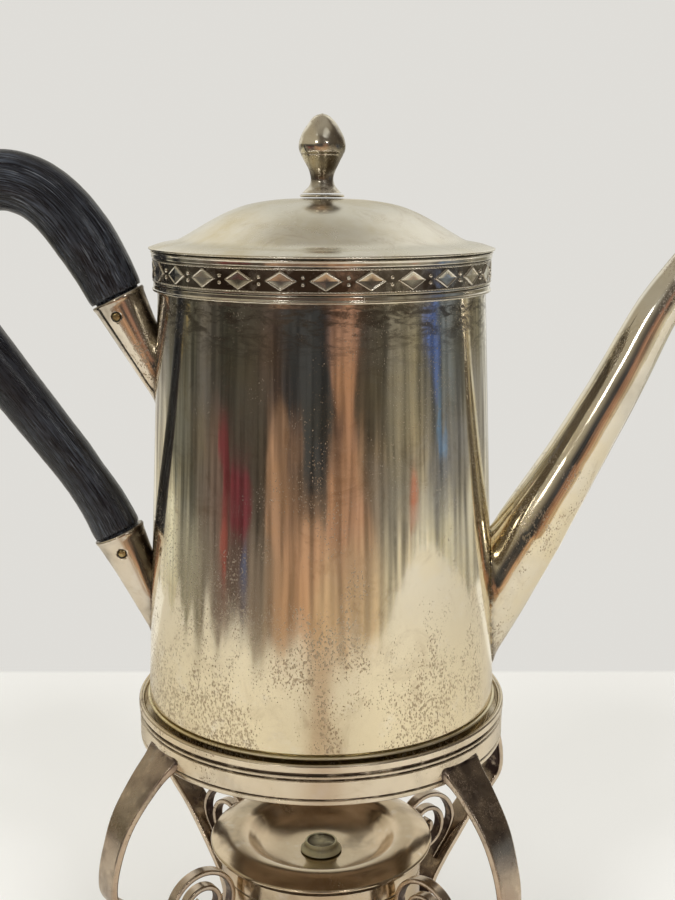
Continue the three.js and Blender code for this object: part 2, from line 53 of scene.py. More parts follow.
def low(node):
    """Lowest height of a CAD node, in millimetres."""
    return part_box(node)[0].z / MM


def high(node):
    """Highest height of a CAD node, in millimetres."""
    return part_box(node)[1].z / MM


def reach(node):
    """Furthest a CAD node comes along +Y, which is a turned node's radius, in millimetres."""
    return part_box(node)[1].y / MM


def extent(node):
    """Bottom, top and radius of a turned CAD node, in millimetres."""
    return low(node), high(node), reach(node)


RING_TOP = high("stand_ring")
RING_RADIUS = reach("stand_ring")
RING_BAND = RING_RADIUS - 0.3
SEAT_TOP = low("pot_body") - GAP
BODY_TOP = high("pot_body")
BODY_FOOT = RING_TOP + 1.6
BODY_NECK = RING_TOP + 128
FOOT_RADIUS = reach("pot_body")
NECK_RADIUS = 50.0
BODY_WALL = 1.2
LID_RIM = BODY_TOP + GAP
COVER_RIM = high("burner_cover") - 2.3
TRAY_TOP = high("burner_tray") - 2.2
LEG_ANGLES = {"front_left": -145.4, "front_right": -44.6, "back_right": 35.6, "back_left": 136.2}

FINE = 256  # facets round the large turned pieces
SMALL = 72  # facets round the small ones


# ---- outlines

def raised(outline, height):
    """The same outline with its heights counted from a new height."""
    return [(radius, height + z, *oxide_shade) for radius, z, *oxide_shade in outline]


def from_ring(line):
    """The same outline or line with its heights counted from the ring's top."""
    return raised(line, RING_TOP)


def rounded(points, radius):
    """Outline whose corners are eased by small arcs, with a close pair of points each side of a long run."""
    steps = 3
    made = [points[0]]
    for before, corner, after in zip(points, points[1:], points[2:]):
        back = [before[i] - corner[i] for i in range(2)]
        ahead = [after[i] - corner[i] for i in range(2)]
        back_length, ahead_length = math.hypot(*back), math.hypot(*ahead)
        cut = min(radius, 0.45 * back_length, 0.45 * ahead_length)
        start = [corner[i] + back[i] * cut / back_length for i in range(2)]
        end = [corner[i] + ahead[i] * cut / ahead_length for i in range(2)]
        for step in range(steps + 1):
            t = step / steps
            near, middle, far = (1 - t) ** 2, 2 * t * (1 - t), t * t
            place = [near * start[i] + middle * corner[i] + far * end[i] for i in range(2)]
            made.append((*place, *corner[2:]))
    made.append(points[-1])
    return supported(made)


def supported(points, margin=0.15):
    """Extra points close to both ends of each long run, so that it shades flat."""
    made = [points[0]]
    for before, after in zip(points, points[1:]):
        length = math.dist(before[:2], after[:2])
        if length > 5 * margin:
            for share in (margin / length, 1 - margin / length):
                made.append(tuple(b + (a - b) * share for b, a in zip(before, after)))
        made.append(after)
    return made


def smooth(points, count):
    """Points evenly spread on a smooth curve through the given ones."""
    vectors = [Vector((p[0], p[1], 0)) for p in points]
    knots = [vectors[0] * 2 - vectors[1], *vectors, vectors[-1] * 2 - vectors[-2]]
    steps = 24
    dense = []
    for a, b, c, d in zip(knots, knots[1:], knots[2:], knots[3:]):
        slope, bend, twist = c - a, 2 * a - 5 * b + 4 * c - d, 3 * b - a - 3 * c + d
        for step in range(steps):
            t = step / steps
            dense.append(0.5 * (2 * b + slope * t + bend * t**2 + twist * t**3))
    dense.append(vectors[-1])
    lengths = [0.0]
    for before, after in zip(dense, dense[1:]):
        lengths.append(lengths[-1] + (after - before).length)
    made = []
    j = 0
    for i in range(count + 1):
        target = lengths[-1] * i / count
        while j + 2 < len(lengths) and lengths[j + 1] < target:
            j += 1
        share = (target - lengths[j]) / (lengths[j + 1] - lengths[j])
        place = dense[j].lerp(dense[j + 1], share)
        made.append((place.x, place.y))
    return made


def lengthened(path, extra):
    """The same path run straight on past both ends."""
    first, second = Vector(path[0]), Vector(path[1])
    last, before = Vector(path[-1]), Vector(path[-2])
    start = first + (first - second).normalized() * extra
    end = last + (last - before).normalized() * extra
    return [tuple(start), *path, tuple(end)]


def read_off(table, t):
    """Value at t in a table of (position, value) pairs, straight between them."""
    for (t0, v0), (t1, v1) in zip(table, table[1:]):
        if t <= t1:
            share = max(0.0, (t - t0) / (t1 - t0))
            return v0 + (v1 - v0) * share
    return table[-1][1]


def oval(deep, across, sides, squareness=2.0):
    """Closed oval outline, squarer as squareness grows."""
    points = []
    for j in range(sides):
        angle = 2 * math.pi * j / sides
        bulge = [math.copysign(abs(v) ** (2 / squareness), v) for v in (math.cos(angle), math.sin(angle))]
        points.append((deep * bulge[0], across * bulge[1]))
    return points


def flat_bar(width, thickness, corner):
    """Closed rectangular outline with rounded corners, as (deep, across) points."""
    steps = 4
    points = []
    for side_a, side_b in ((1, 1), (1, -1), (-1, -1), (-1, 1)):
        arc = []
        for step in range(steps + 1):
            angle = math.pi / 2 * step / steps
            deep = side_a * (thickness / 2 - corner + corner * math.cos(angle))
            across = side_b * (width / 2 - corner + corner * math.sin(angle))
            arc.append((deep, across))
        points.extend(arc if side_a * side_b < 0 else arc[::-1])
    return supported([*points, points[0]], 0.2)[:-1]


# ---- meshes

def solid(name, vertices, faces, oxide_and_shade=None, straight=None):
    """Mesh object from points in millimetres, shaded smooth, with its dark oxide, painted shade and
    straightened places.
    """
    mesh = bpy.data.meshes.new(name)
    mesh.from_pydata([[c * MM for c in v] for v in vertices], [], faces)
    mesh.validate()
    layer = mesh.attributes.new("oxide_and_shade", "FLOAT", "POINT")
    layer.data.foreach_set("value", oxide_and_shade or [0.0] * len(vertices))
    if straight:
        layer = mesh.attributes.new("straight", "FLOAT_VECTOR", "POINT")
        layer.data.foreach_set("vector", [c * MM for v in straight for c in v])
    mesh.shade_smooth()
    made = bpy.data.objects.new(name, mesh)
    bpy.context.scene.collection.objects.link(made)
    return made


def outward(obj):
    """Turns the faces outward if the closed mesh has a negative volume."""
    volume = 0.0
    mesh = obj.data
    for face in mesh.polygons:
        corners = [mesh.vertices[v].co for v in face.vertices]
        for b, c in zip(corners[1:], corners[2:]):
            volume += corners[0].dot(b.cross(c))
    if volume < 0:
        mesh.flip_normals()
    return obj


def turned(name, outline, segments=FINE, closed=False):
    """Turned piece; an outline that reaches the axis closes on it."""
    vertices, oxide_and_shade, rows, faces = [], [], [], []
    for radius, height, *oxide_shade in outline:
        count = 1 if radius < 1e-6 else segments
        rows.append([len(vertices) + i for i in range(count)])
        for i in range(count):
            angle = 2 * math.pi * i / segments
            vertices.append((radius * math.cos(angle), radius * math.sin(angle), height))
            oxide_and_shade.append(oxide_shade[0] if oxide_shade else 0.0)
    pairs = list(zip(rows, rows[1:]))
    if closed:
        pairs.append((rows[-1], rows[0]))
    for a, b in pairs:
        for i in range(segments):
            j = (i + 1) % segments
            if len(a) == 1 and len(b) == 1:
                continue
            if len(a) == 1:
                faces.append((a[0], b[j], b[i]))
            elif len(b) == 1:
                faces.append((a[i], a[j], b[0]))
            else:
                faces.append((a[i], a[j], b[j], b[i]))
    return outward(solid(name, vertices, faces, oxide_and_shade))


def turned_ring(name, outline, easing, segments=FINE):
    """Turned piece clear of the axis, from the corners of its outline, which are eased."""
    return turned(name, rounded([*outline, outline[0]], easing)[:-1], segments, closed=True)


def skin(rows, count):
    """Faces between neighbouring rows of points, each row a closed loop of count points."""
    faces = []
    for i in range(rows - 1):
        for j in range(count):
            k = (j + 1) % count
            faces.append((i * count + j, i * count + k, (i + 1) * count + k, (i + 1) * count + j))
    return faces


def lofted(name, path, section, oxide_and_shade=None):
    """Bar along (x, z) points in the plane Y = 0. section(t) gives its (deep, across) outline there."""
    vertices, straight, oxide_shade = [], [], []
    travelled = 0.0
    last = len(path) - 1
    for i, (x, z) in enumerate(path):
        before, after = path[max(i - 1, 0)], path[min(i + 1, last)]
        along = Vector((after[0] - before[0], 0, after[1] - before[1])).normalized()
        side = Vector((-along.z, 0, along.x))
        if i:
            travelled += math.dist(path[i - 1], path[i])
        for deep, across in section(i / last):
            place = Vector((x, across, z)) + side * deep
            vertices.append(tuple(place))
            straight.append((travelled, deep, across))
            oxide_shade.append(oxide_and_shade(place) if oxide_and_shade else 0.0)
    count = len(vertices) // len(path)
    ends = [tuple(range(count))[::-1], tuple(last * count + j for j in range(count))]
    return outward(solid(name, vertices, skin(len(path), count) + ends, oxide_shade, straight))


def joined(name, parts):
    """One mesh from several objects."""
    vertices, faces, oxide_and_shade = [], [], []
    for part in parts:
        start = len(vertices)
        vertices.extend([c / MM for c in v.co] for v in part.data.vertices)
        faces.extend([start + v for v in face.vertices] for face in part.data.polygons)
        oxide_and_shade.extend(item.value for item in part.data.attributes["oxide_and_shade"].data)
        bpy.data.objects.remove(part)
    return solid(name, vertices, faces, oxide_and_shade)


def trimmed(obj, cutter):
    """Cuts another closed mesh out of obj."""
    modifier = obj.modifiers.new("trim", "BOOLEAN")
    modifier.operation = "DIFFERENCE"
    modifier.object = cutter
    modifier.solver = "EXACT"
    depsgraph = bpy.context.evaluated_depsgraph_get()
    mesh = bpy.data.meshes.new_from_object(obj.evaluated_get(depsgraph))
    obj.modifiers.remove(modifier)
    obj.data = mesh
    bpy.data.objects.remove(cutter)


SLAB_WIDTH = 90


def slab(name, bottom, thickness, start, end):
    """Wide cutter that runs level from start to end along X, from a height up."""
    middle = bottom + thickness / 2
    return lofted(name, [(start, middle), (end, middle)], lambda t: flat_bar(SLAB_WIDTH, thickness, 1))


def darken_points(obj, oxide_and_shade):
    """Raises each point's darkening, dark oxide and painted shade, to the value given for its vertex, where
    that is more.
    """
    layer = obj.data.attributes["oxide_and_shade"].data
    for vertex in obj.data.vertices:
        layer[vertex.index].value = max(layer[vertex.index].value, oxide_and_shade(vertex))


def painted_shade_towards(obj, direction, amount):
    """Painted shade: darkens the faces that look along a direction given as a function of the place."""
    def oxide_and_shade(vertex):
        facing = vertex.normal.dot(direction(vertex.co / MM).normalized())
        return amount * min(1.0, max(0.0, 2.5 * facing - 0.75))

    darken_points(obj, oxide_and_shade)


def swollen(obj, swell):
    """Moves each point along its normal by swell(place), in millimetres."""
    vertices = obj.data.vertices
    normals = [v.normal.copy() for v in vertices]
    for vertex, normal in zip(vertices, normals):
        vertex.co += normal * swell(vertex.co / MM) * MM


def hammered(obj, depth, size, seed):
    """Presses points in by soft noise, up to twice the depth. Depth and size are in millimetres."""
    shift = Vector((seed, seed, seed))
    swollen(obj, lambda place: (noise.noise(place / size + shift) - 1) * depth)


def placed(obj, body, slot, material, *nodes):
    """Gives a piece its material and its body, and hides the CAD nodes that it stands for."""
    obj.data.materials.clear()
    obj.data.materials.append(material)
    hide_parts(*nodes)
    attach(obj, body)


# ---- materials

class Shading:
    """The nodes of one material or world, built in reading order."""

    def __init__(self, owner, coordinates="Object"):
        owner.use_nodes = True
        self.owner = owner
        self.tree = owner.node_tree
        self.places = self.node("ShaderNodeTexCoord").outputs[coordinates]

    def node(self, kind, inputs=None, **settings):
        made = self.tree.nodes.new(kind)
        for key, value in settings.items():
            setattr(made, key, value)
        for key, value in (inputs or {}).items():
            self.feed(made.inputs[key], value)
        return made

    def feed(self, socket, value):
        if isinstance(value, bpy.types.NodeSocket):
            self.tree.links.new(value, socket)
        else:
            socket.default_value = value

    def axis(self, name):
        """One coordinate of the place."""
        return self.node("ShaderNodeSeparateXYZ", {0: self.places}).outputs[name]

    def stretched(self, scale, places=None, turn=(0, 0, 0)):
        inputs = {"Vector": places or self.places, "Scale": scale, "Rotation": turn}
        return self.node("ShaderNodeMapping", inputs).outputs["Vector"]

    def cloud(self, scale, detail=3.0, roughness=0.55, places=None, distortion=0.0, output="Fac"):
        """Soft noise, its scale in cells per metre of the places given."""
        inputs = {"Vector": places or self.places, "Scale": scale, "Detail": detail, "Roughness": roughness,
                  "Distortion": distortion}
        return self.node("ShaderNodeTexNoise", inputs).outputs[output]

    def vector(self, operation, inputs, output="Vector"):
        return self.node("ShaderNodeVectorMath", inputs, operation=operation).outputs[output]

    def number(self, operation, a, b=0.0, clamp=False):
        made = self.node("ShaderNodeMath", {0: a, 1: b}, operation=operation, use_clamp=clamp)
        return made.outputs["Value"]

    def plus(self, a, b, clamp=False):
        return self.number("ADD", a, b, clamp)

    def minus(self, a, b):
        return self.number("SUBTRACT", a, b)

    def times(self, a, b):
        return self.number("MULTIPLY", a, b)

    def larger(self, a, b):
        return self.number("MAXIMUM", a, b)

    def between(self, value, start, end, to_start=0.0, to_end=1.0):
        """Smooth step of a value from start to end."""
        inputs = {"Value": value, "From Min": start, "From Max": end, "To Min": to_start, "To Max": to_end}
        return self.node("ShaderNodeMapRange", inputs, interpolation_type="SMOOTHSTEP").outputs["Result"]

    def mixed(self, share, a, b):
        """Colour a, turning to colour b as the share grows."""
        a, b = [(*colour, 1) if isinstance(colour, tuple) else colour for colour in (a, b)]
        return self.node("ShaderNodeMix", {"Factor": share, 6: a, 7: b}, data_type="RGBA").outputs[2]

    def attribute(self, name, output="Fac"):
        return self.node("ShaderNodeAttribute", attribute_name=name).outputs[output]

    def dots(self, scale, size, places):
        """Uneven dots, each up to size across its cell; a size of zero leaves none."""
        shake = self.cloud(scale * 1.6, 2.0, 0.5, places, output="Color")
        shake = self.vector("SCALE", {0: shake, "Scale": 0.9 / scale})
        shaken = self.vector("ADD", {0: places, 1: shake})
        cells = self.node("ShaderNodeTexVoronoi", {"Vector": shaken, "Scale": scale})
        chance = self.node("ShaderNodeSeparateColor", {0: cells.outputs["Color"]}).outputs[0]
        spread = self.minus(self.times(size, self.between(chance, 0.1, 0.9)), 0.08)
        return self.between(self.minus(cells.outputs["Distance"], spread), -0.08, 0.06, 1, 0)

    def bump(self, height, depth, normal=None):
        """Normal of a relief that stands up to depth metres high."""
        inputs = {"Height": height, "Distance": depth}
        if normal:
            inputs["Normal"] = normal
        return self.node("ShaderNodeBump", inputs).outputs["Normal"]

    def finish(self, colour, roughness, normal, metallic=1.0, **others):
        """Sets the material's shader and returns the material."""
        inputs = {"Base Color": colour, "Roughness": roughness, "Normal": normal, "Metallic": metallic}
        inputs.update((name.replace("_", " "), value) for name, value in others.items())
        shader = self.tree.nodes["Principled BSDF"]
        for name, value in inputs.items():
            self.feed(shader.inputs[name], value)
        return self.owner


def new_shading(name):
    return Shading(bpy.data.materials.new(name))


SILVER_TINT = (0.82, 0.79, 0.71)
FILM_TINT = (0.85, 0.755, 0.54)
BLOTCH_TINT = (0.44, 0.34, 0.22)
RUBBED_TINT = (0.90, 0.88, 0.84)
# Colour of dark oxide and of the painted shade in creases and joints.
OXIDE_AND_SHADE_TINT = (0.10, 0.075, 0.055)
PIT_TINT = (0.24, 0.15, 0.08)


def silver(name, tint=SILVER_TINT, film=FILM_TINT, film_share=(0.42, 0.68), roughness=0.07, haze=0.10,
           pit_patches=(0.48, 0.66), oxide=0.0, oxide_and_shade_tint=OXIDE_AND_SHADE_TINT, ripple=0.0, low_pits=None,
           high_stain=None):
    """Worn silver: uneven yellow film, brown pits in patches, dark oxide and painted shade in creases,
    scratches and dents.
    """
    s = new_shading(name)
    film_mask = s.between(s.cloud(16, 5, 0.6), *film_share)
    if low_pits:
        film_mask = s.larger(film_mask, s.between(s.axis("Z"), *low_pits, 1, 0))
    colour = s.mixed(film_mask, tint, film)
    blotches = s.between(s.cloud(70, 6, 0.75, distortion=0.8), 0.50, 0.78)
    colour = s.mixed(s.times(blotches, 0.5), colour, BLOTCH_TINT)
    rubbed = s.between(s.cloud(120, 5, 0.7, s.stretched((1, 1, 1), turn=(1.1, 0.4, 0.3))), 0.54, 0.74)
    colour = s.mixed(s.times(rubbed, 0.35), colour, RUBBED_TINT)

    upright = s.stretched((1, 1, 0.6))
    patches = s.between(s.cloud(38, 6, 0.72, upright), *pit_patches)
    if low_pits:
        patches = s.times(patches, s.between(s.axis("Z"), *low_pits, 1, 0.45))
    fine_dots = s.dots(2300, s.times(patches, 0.85), upright)
    large_dots = s.dots(1200, s.times(patches, 0.42), s.stretched((1, 1, 0.5), turn=(0.02, 0.03, 0.4)))
    pit_mask = s.larger(s.times(fine_dots, 0.85), large_dots)
    colour = s.mixed(s.times(pit_mask, 0.62), colour, PIT_TINT)

    # Dark oxide and painted shade from each point's darkening, broken up by noise.
    creases = s.times(s.attribute("oxide_and_shade"), s.between(s.cloud(260, 4, 0.6), 0.15, 0.55))
    grey = s.between(s.cloud(42, 4, 0.6, s.stretched((1, 1, 1), turn=(0.7, 0.2, 1.9))), 0.50, 0.74)
    dark = s.plus(creases, s.times(grey, oxide), clamp=True)
    if high_stain:
        smears = s.between(s.cloud(1, 5, 0.7, s.stretched((150, 150, 420)), 0.6), 0.42, 0.62)
        dark = s.plus(dark, s.times(smears, s.between(s.axis("Z"), *high_stain, 0, 0.8)), clamp=True)
    colour = s.mixed(dark, colour, oxide_and_shade_tint)

    scratches = [
        s.between(s.cloud(1, 3, 0.6, s.stretched(scale, turn=turn)), 0.66, 0.74)
        for scale, turn in (((3400, 3400, 70), (0.55, 0.35, 0.2)), ((60, 3800, 3800), (0.3, 0.7, 0.9)))
    ]
    scratch = s.larger(*scratches)
    rough = s.between(s.cloud(60, 5, 0.65), 0.38, 0.75, roughness, roughness + haze)
    if low_pits:
        rough = s.plus(rough, s.between(s.axis("Z"), *low_pits, 0.06, 0.0))
    rough = s.plus(rough, s.times(pit_mask, 0.25))
    rough = s.plus(rough, s.times(dark, 0.18))
    rough = s.plus(rough, s.times(scratch, 0.05), clamp=True)

    normal = None
    if ripple:
        normal = s.bump(s.cloud(34, 2, 0.4, s.stretched((1, 1, 0.5))), ripple * MM)
    normal = s.bump(scratch, -0.0006 * MM, normal)
    normal = s.bump(pit_mask, -0.003 * MM, normal)
    return s.finish(colour, rough, normal, s.minus(1.0, s.times(pit_mask, 0.2)))


def ebonised_wood():
    """Black-stained wood: long pores, dusty grey bloom with a painted bluish sheen on the high grain, pale
    scratches and rubbed spots.
    """
    s = new_shading("ebonised_wood")
    bar = s.attribute("straight", "Vector")
    black = (0.004, 0.004, 0.006)
    grain = s.cloud(1, 4, 0.7, s.stretched((70, 2800, 2800), bar))
    pores = s.between(s.cloud(1, 2, 0.5, s.stretched((140, 3600, 3600), bar)), 0.55, 0.64)
    bloom_and_sheen = s.between(s.cloud(26, 4, 0.6), 0.36, 0.68)
    colour = s.mixed(s.between(grain, 0.35, 0.70), black, (0.018, 0.020, 0.027))
    # Dusty grey bloom, lightened and tinted blue as a painted sheen.
    colour = s.mixed(s.times(bloom_and_sheen, s.between(grain, 0.46, 0.70, 0.0, 0.7)), colour, (0.10, 0.12, 0.155))
    colour = s.mixed(s.times(pores, 0.8), colour, black)
    nicks = s.between(s.cloud(1, 2, 0.5, s.stretched((150, 4200, 4200), bar, (0.02, 0.0, 0.05))), 0.64, 0.70)
    rubs = s.between(s.cloud(1, 2, 0.5, s.stretched((55, 2400, 900), bar, (0.1, 0.0, 0.14))), 0.70, 0.75)
    pale = s.larger(s.times(nicks, bloom_and_sheen), rubs)
    colour = s.mixed(s.times(pale, 0.6), colour, (0.24, 0.26, 0.29))
    normal = s.bump(pores, -0.06 * MM, s.bump(grain, 0.04 * MM))
    return s.finish(colour, s.between(grain, 0.3, 0.75, 0.22, 0.40), normal, 0.0,
                    Specular_IOR_Level=0.4, Coat_Weight=0.12, Coat_Roughness=0.25)


def dull_brass():
    s = new_shading("brass")
    stain = s.between(s.cloud(420, 5, 0.6), 0.4, 0.7)
    colour = s.mixed(stain, (0.50, 0.39, 0.19), (0.20, 0.14, 0.07))
    # Dark oxide and painted shade round the rivet heads and at the wick holder's foot.
    colour = s.mixed(s.attribute("oxide_and_shade"), colour, (0.05, 0.035, 0.02))
    normal = s.bump(s.cloud(1400, 3, 0.6), 0.02 * MM)
    return s.finish(colour, s.between(stain, 0, 1, 0.25, 0.5), normal)


def cotton():
    """Woven wick, charred over its top few millimetres."""
    s = new_shading("cotton")
    top = high("wick") * MM
    strands = s.cloud(1, 3, 0.6, s.stretched((1500, 1500, 300)))
    char = s.between(s.axis("Z"), top - 4 * MM, top)
    colour = s.mixed(s.between(strands, 0.3, 0.7), (0.62, 0.56, 0.44), (0.84, 0.80, 0.70))
    colour = s.mixed(s.times(char, s.between(strands, 0.3, 0.6)), colour, (0.03, 0.025, 0.02))
    return s.finish(colour, 0.95, s.bump(strands, 0.25 * MM), 0.0)


BODY_SILVER = silver(
    "body_silver", low_pits=(RING_TOP * MM, (RING_TOP + 90) * MM), ripple=0.30, roughness=0.05, haze=0.07,
    pit_patches=(0.36, 0.58), high_stain=((RING_TOP + 108) * MM, (RING_TOP + 127) * MM),
)
# Lighter, more golden silver for the foot wire: painted light, bounced into the gap under the body.
FOOT_SILVER_PAINTED_LIGHT = silver(
    "foot_silver_painted_light", tint=(0.95, 0.88, 0.66), film=(0.92, 0.80, 0.46), roughness=0.34, haze=0.12,
    pit_patches=(0.5, 0.7),
)
LID_SILVER = silver(
    "lid_silver", tint=(0.88, 0.85, 0.76), film=(0.73, 0.64, 0.43), film_share=(0.40, 0.62), roughness=0.20,
    haze=0.12, pit_patches=(0.56, 0.76), ripple=0.2,
)
TRIM_SILVER = silver("trim_silver", roughness=0.10, pit_patches=(0.54, 0.74), oxide=0.4)
FINIAL_SILVER = silver("finial_silver", roughness=0.13, haze=0.14, pit_patches=(0.36, 0.56), oxide=0.8)
SPOUT_SILVER = silver("spout_silver", haze=0.08, pit_patches=(0.42, 0.60), ripple=0.2, oxide=0.2)
SOCKET_SILVER = silver(
    "socket_silver", tint=(0.80, 0.74, 0.64), film=(0.70, 0.58, 0.42), roughness=0.08,
    pit_patches=(0.46, 0.66), oxide=0.8,
)
STAND_SILVER = silver(
    "stand_silver", tint=(0.78, 0.66, 0.52), film=(0.64, 0.47, 0.36), roughness=0.12, haze=0.14, oxide=0.6,
    oxide_and_shade_tint=(0.062, 0.043, 0.042), pit_patches=(0.46, 0.66), ripple=0.15,
)
RING_SILVER = silver(
    "ring_silver", tint=(0.84, 0.75, 0.60), film=(0.78, 0.66, 0.47), roughness=0.18, haze=0.12, oxide=0.3,
    pit_patches=(0.48, 0.68), ripple=0.1,
)
BURNER_SILVER = silver(
    "burner_silver", tint=(0.75, 0.63, 0.46), film=(0.62, 0.48, 0.32), roughness=0.15,
    pit_patches=(0.50, 0.72), oxide=0.5, ripple=0.45,
)
KNOB_SILVER = silver("knob_silver", tint=(0.90, 0.88, 0.66), film=(0.82, 0.78, 0.52), roughness=0.55)
SOOTY_SILVER = silver(
    "sooty_silver", tint=(0.42, 0.34, 0.27), film=(0.30, 0.22, 0.16), roughness=0.34, haze=0.2, oxide=0.8,
)
EBONY = ebonised_wood()
BRASS = dull_brass()
COTTON = cotton()


# ---- pot body

def body_radius(height):
    share = (height - BODY_FOOT) / (BODY_NECK - BODY_FOOT)
    return FOOT_RADIUS + (NECK_RADIUS - FOOT_RADIUS) * share


def body_space():
    """The space the pot's wall encloses, for trimming what is soldered to it."""
    bottom = BODY_FOOT - 6
    outline = [(0, bottom), (body_radius(bottom), bottom), (body_radius(BODY_TOP), BODY_TOP), (0, BODY_TOP)]
    return turned("pot_space", outline)


def make_body():
    shoulder = FOOT_RADIUS - 0.9
    bottom = low("pot_body")
    outline = [
        (shoulder - BODY_WALL, bottom, 0.8), (shoulder, bottom, 0.1), (shoulder, BODY_FOOT - 0.3),
        (FOOT_RADIUS, BODY_FOOT), (NECK_RADIUS, BODY_NECK), (NECK_RADIUS, BODY_TOP),
        (NECK_RADIUS - BODY_WALL, BODY_TOP), (NECK_RADIUS - BODY_WALL, BODY_NECK),
        (shoulder - BODY_WALL, BODY_FOOT, 0.6),
    ]
    body = turned_ring("pot_wall", outline, 0.25)
    for hole in strainer_holes():
        trimmed(body, hole)
    placed(body, "pot", "silver", BODY_SILVER, "pot_body")


def strainer_holes():
    """Cutters for one hole behind the spout's root and six round it."""
    height = RING_TOP + 30
    x = body_radius(height)
    turns = [math.radians(60 * i) for i in range(6)]
    for y, z in [(0, 0), *[(7 * math.sin(turn), 7 * math.cos(turn)) for turn in turns]]:
        path = [(x - 6, height + z), (x + 6, height + z)]
        hole = lofted("hole", path, lambda t: oval(2.4, 2.4, 24))
        hole.data.transform(Matrix.Translation((0, y * MM, 0)))
        yield hole


def make_base():
    """The slightly uneven plate that closes the body."""
    under, top, radius = extent("body_base")
    rings = [(radius * i / 8, 0.06 * math.sin(i * 1.7)) for i in range(8, 0, -1)]
    outline = [(0, under), *[(r, under + wave) for r, wave in reversed(rings)]]
    outline += [*[(r, top + wave - 0.06, 0.3) for r, wave in rings], (0, top)]
    placed(turned("body_bottom", rounded(outline, 0.3)), "pot", "silver", SOOTY_SILVER, "body_base")


def make_foot_wire():
    """The half-round wire that lies round the body's foot."""
    bottom, top, outer = extent("foot_wire")
    inner = FOOT_RADIUS - 0.6
    flat = (outer - inner) * 0.25
    outline = [(inner, bottom)]
    for step in range(13):
        angle = math.pi * (step / 12 - 0.5)
        radius = inner + flat + (outer - inner - flat) * math.cos(angle)
        outline.append((radius, (bottom + top) / 2 + (top - bottom) / 2 * math.sin(angle)))
    outline.append((inner, top))
    placed(turned("foot_bead", outline, closed=True), "pot", "silver", FOOT_SILVER_PAINTED_LIGHT, "foot_wire")


def make_neck_strips():
    """The two plain strips that border the frieze: a flat face with a rounded lip on its outer edge."""
    inner = NECK_RADIUS + GAP
    bottom, top, outer = extent("upper_bead")
    upper = [
        (inner, bottom, 0.9), (outer - 0.35, bottom, 0.7), (outer - 0.25, bottom + 0.25),
        (outer - 0.25, top - 0.75), (outer, top - 0.5), (outer, top - 0.15), (outer - 0.5, top, 0.3),
        (inner, top, 0.9),
    ]
    bottom, top, outer = extent("lower_bead")
    lower = [
        (inner, bottom, 0.9), (outer - 0.6, bottom, 0.4), (outer, bottom + 0.2), (outer, bottom + 0.75),
        (outer - 0.35, bottom + 0.95), (outer - 0.35, top - 0.2), (outer - 0.5, top, 0.7), (inner, top, 0.9),
    ]
    for name, outline in (("upper", upper), ("lower", lower)):
        strip = turned_ring(f"{name}_strip", outline, 0.2)
        placed(strip, "pot", "silver", TRIM_SILVER, f"{name}_bead")


# ---- frieze

DIAMONDS = 26
FRIEZE_TURN = -88.8  # where the first diamond stands, in degrees from +X
FRIEZE_GROUND = 50.9
DIAMOND_HALF_WIDTH = 4.9
DIAMOND_HALF_HEIGHT = 2.95
# Size, height above the ground and darkening of a diamond's outlines, from its foot over its crest to its
# face;
# the darkening, dark oxide and painted shade, is deepest at the foot, between the diamonds.
DIAMOND_LAYERS = [(1.0, -0.3, 0.9), (0.98, 0.0, 0.7), (0.86, 0.5, 0.0), (0.79, 0.52, 0.0), (0.72, 0.36, 0.1),
                  (0.69, 0.34, 0.0)]
BEAD_SIZE = 0.72
BEAD_SUNK = 0.15
RAIL_TEETH = 300


def domed(name, rows, count, points, oxide_and_shade, degrees, middle):
    """Dome on the frieze from (along, up, out) points: rows of count from its foot, then one on top."""
    vertices = []
    for along, up, out in points:
        angle = math.radians(degrees) + along / FRIEZE_GROUND
        radius = FRIEZE_GROUND + out
        vertices.append((radius * math.cos(angle), radius * math.sin(angle), middle + up))
    start = (rows - 1) * count
    fan = [(start + j, start + (j + 1) % count, rows * count) for j in range(count)]
    return solid(name, vertices, [*skin(rows, count), *fan, tuple(range(count))[::-1]], oxide_and_shade)


def diamond(degrees, middle):
    """A raised lozenge: bevelled frame with a flat face sunk a hair below its crest."""
    steps = 10
    points, oxide_and_shade = [], []
    for scale, out, oxide_shade in DIAMOND_LAYERS:
        for j in range(4 * steps):
            corner, t = math.pi / 2 * (j // steps), j % steps / steps
            along = (1 - t) * math.cos(corner) + t * math.cos(corner + math.pi / 2)
            up = (1 - t) * math.sin(corner) + t * math.sin(corner + math.pi / 2)
            points.append((along * scale * DIAMOND_HALF_WIDTH, up * scale * DIAMOND_HALF_HEIGHT, out))
            oxide_and_shade.append(oxide_shade)
    points.append((0, 0, DIAMOND_LAYERS[-1][1]))
    oxide_and_shade.append(0.0)
    return domed("diamond", len(DIAMOND_LAYERS), 4 * steps, points, oxide_and_shade, degrees, middle)


def bead(degrees, middle, up):
    """A small round bead standing on the frieze's ground."""
    rings, count = 5, 12
    points, oxide_and_shade = [], []
    for i in range(rings):
        lift = math.pi / 2 * i / rings
        spread = BEAD_SIZE * math.cos(lift)
        for j in range(count):
            angle = 2 * math.pi * j / count
            out = BEAD_SIZE * math.sin(lift) - BEAD_SUNK
            points.append((spread * math.cos(angle), up + spread * math.sin(angle), out))
            # Darker towards its foot: painted shade where the bead meets the ground.
            oxide_and_shade.append(0.8 * (1 - i / rings) ** 2)
    points.append((0, up, BEAD_SIZE - BEAD_SUNK))
    oxide_and_shade.append(0.0)
    return domed("grain", rings, count, points, oxide_and_shade, degrees, middle)


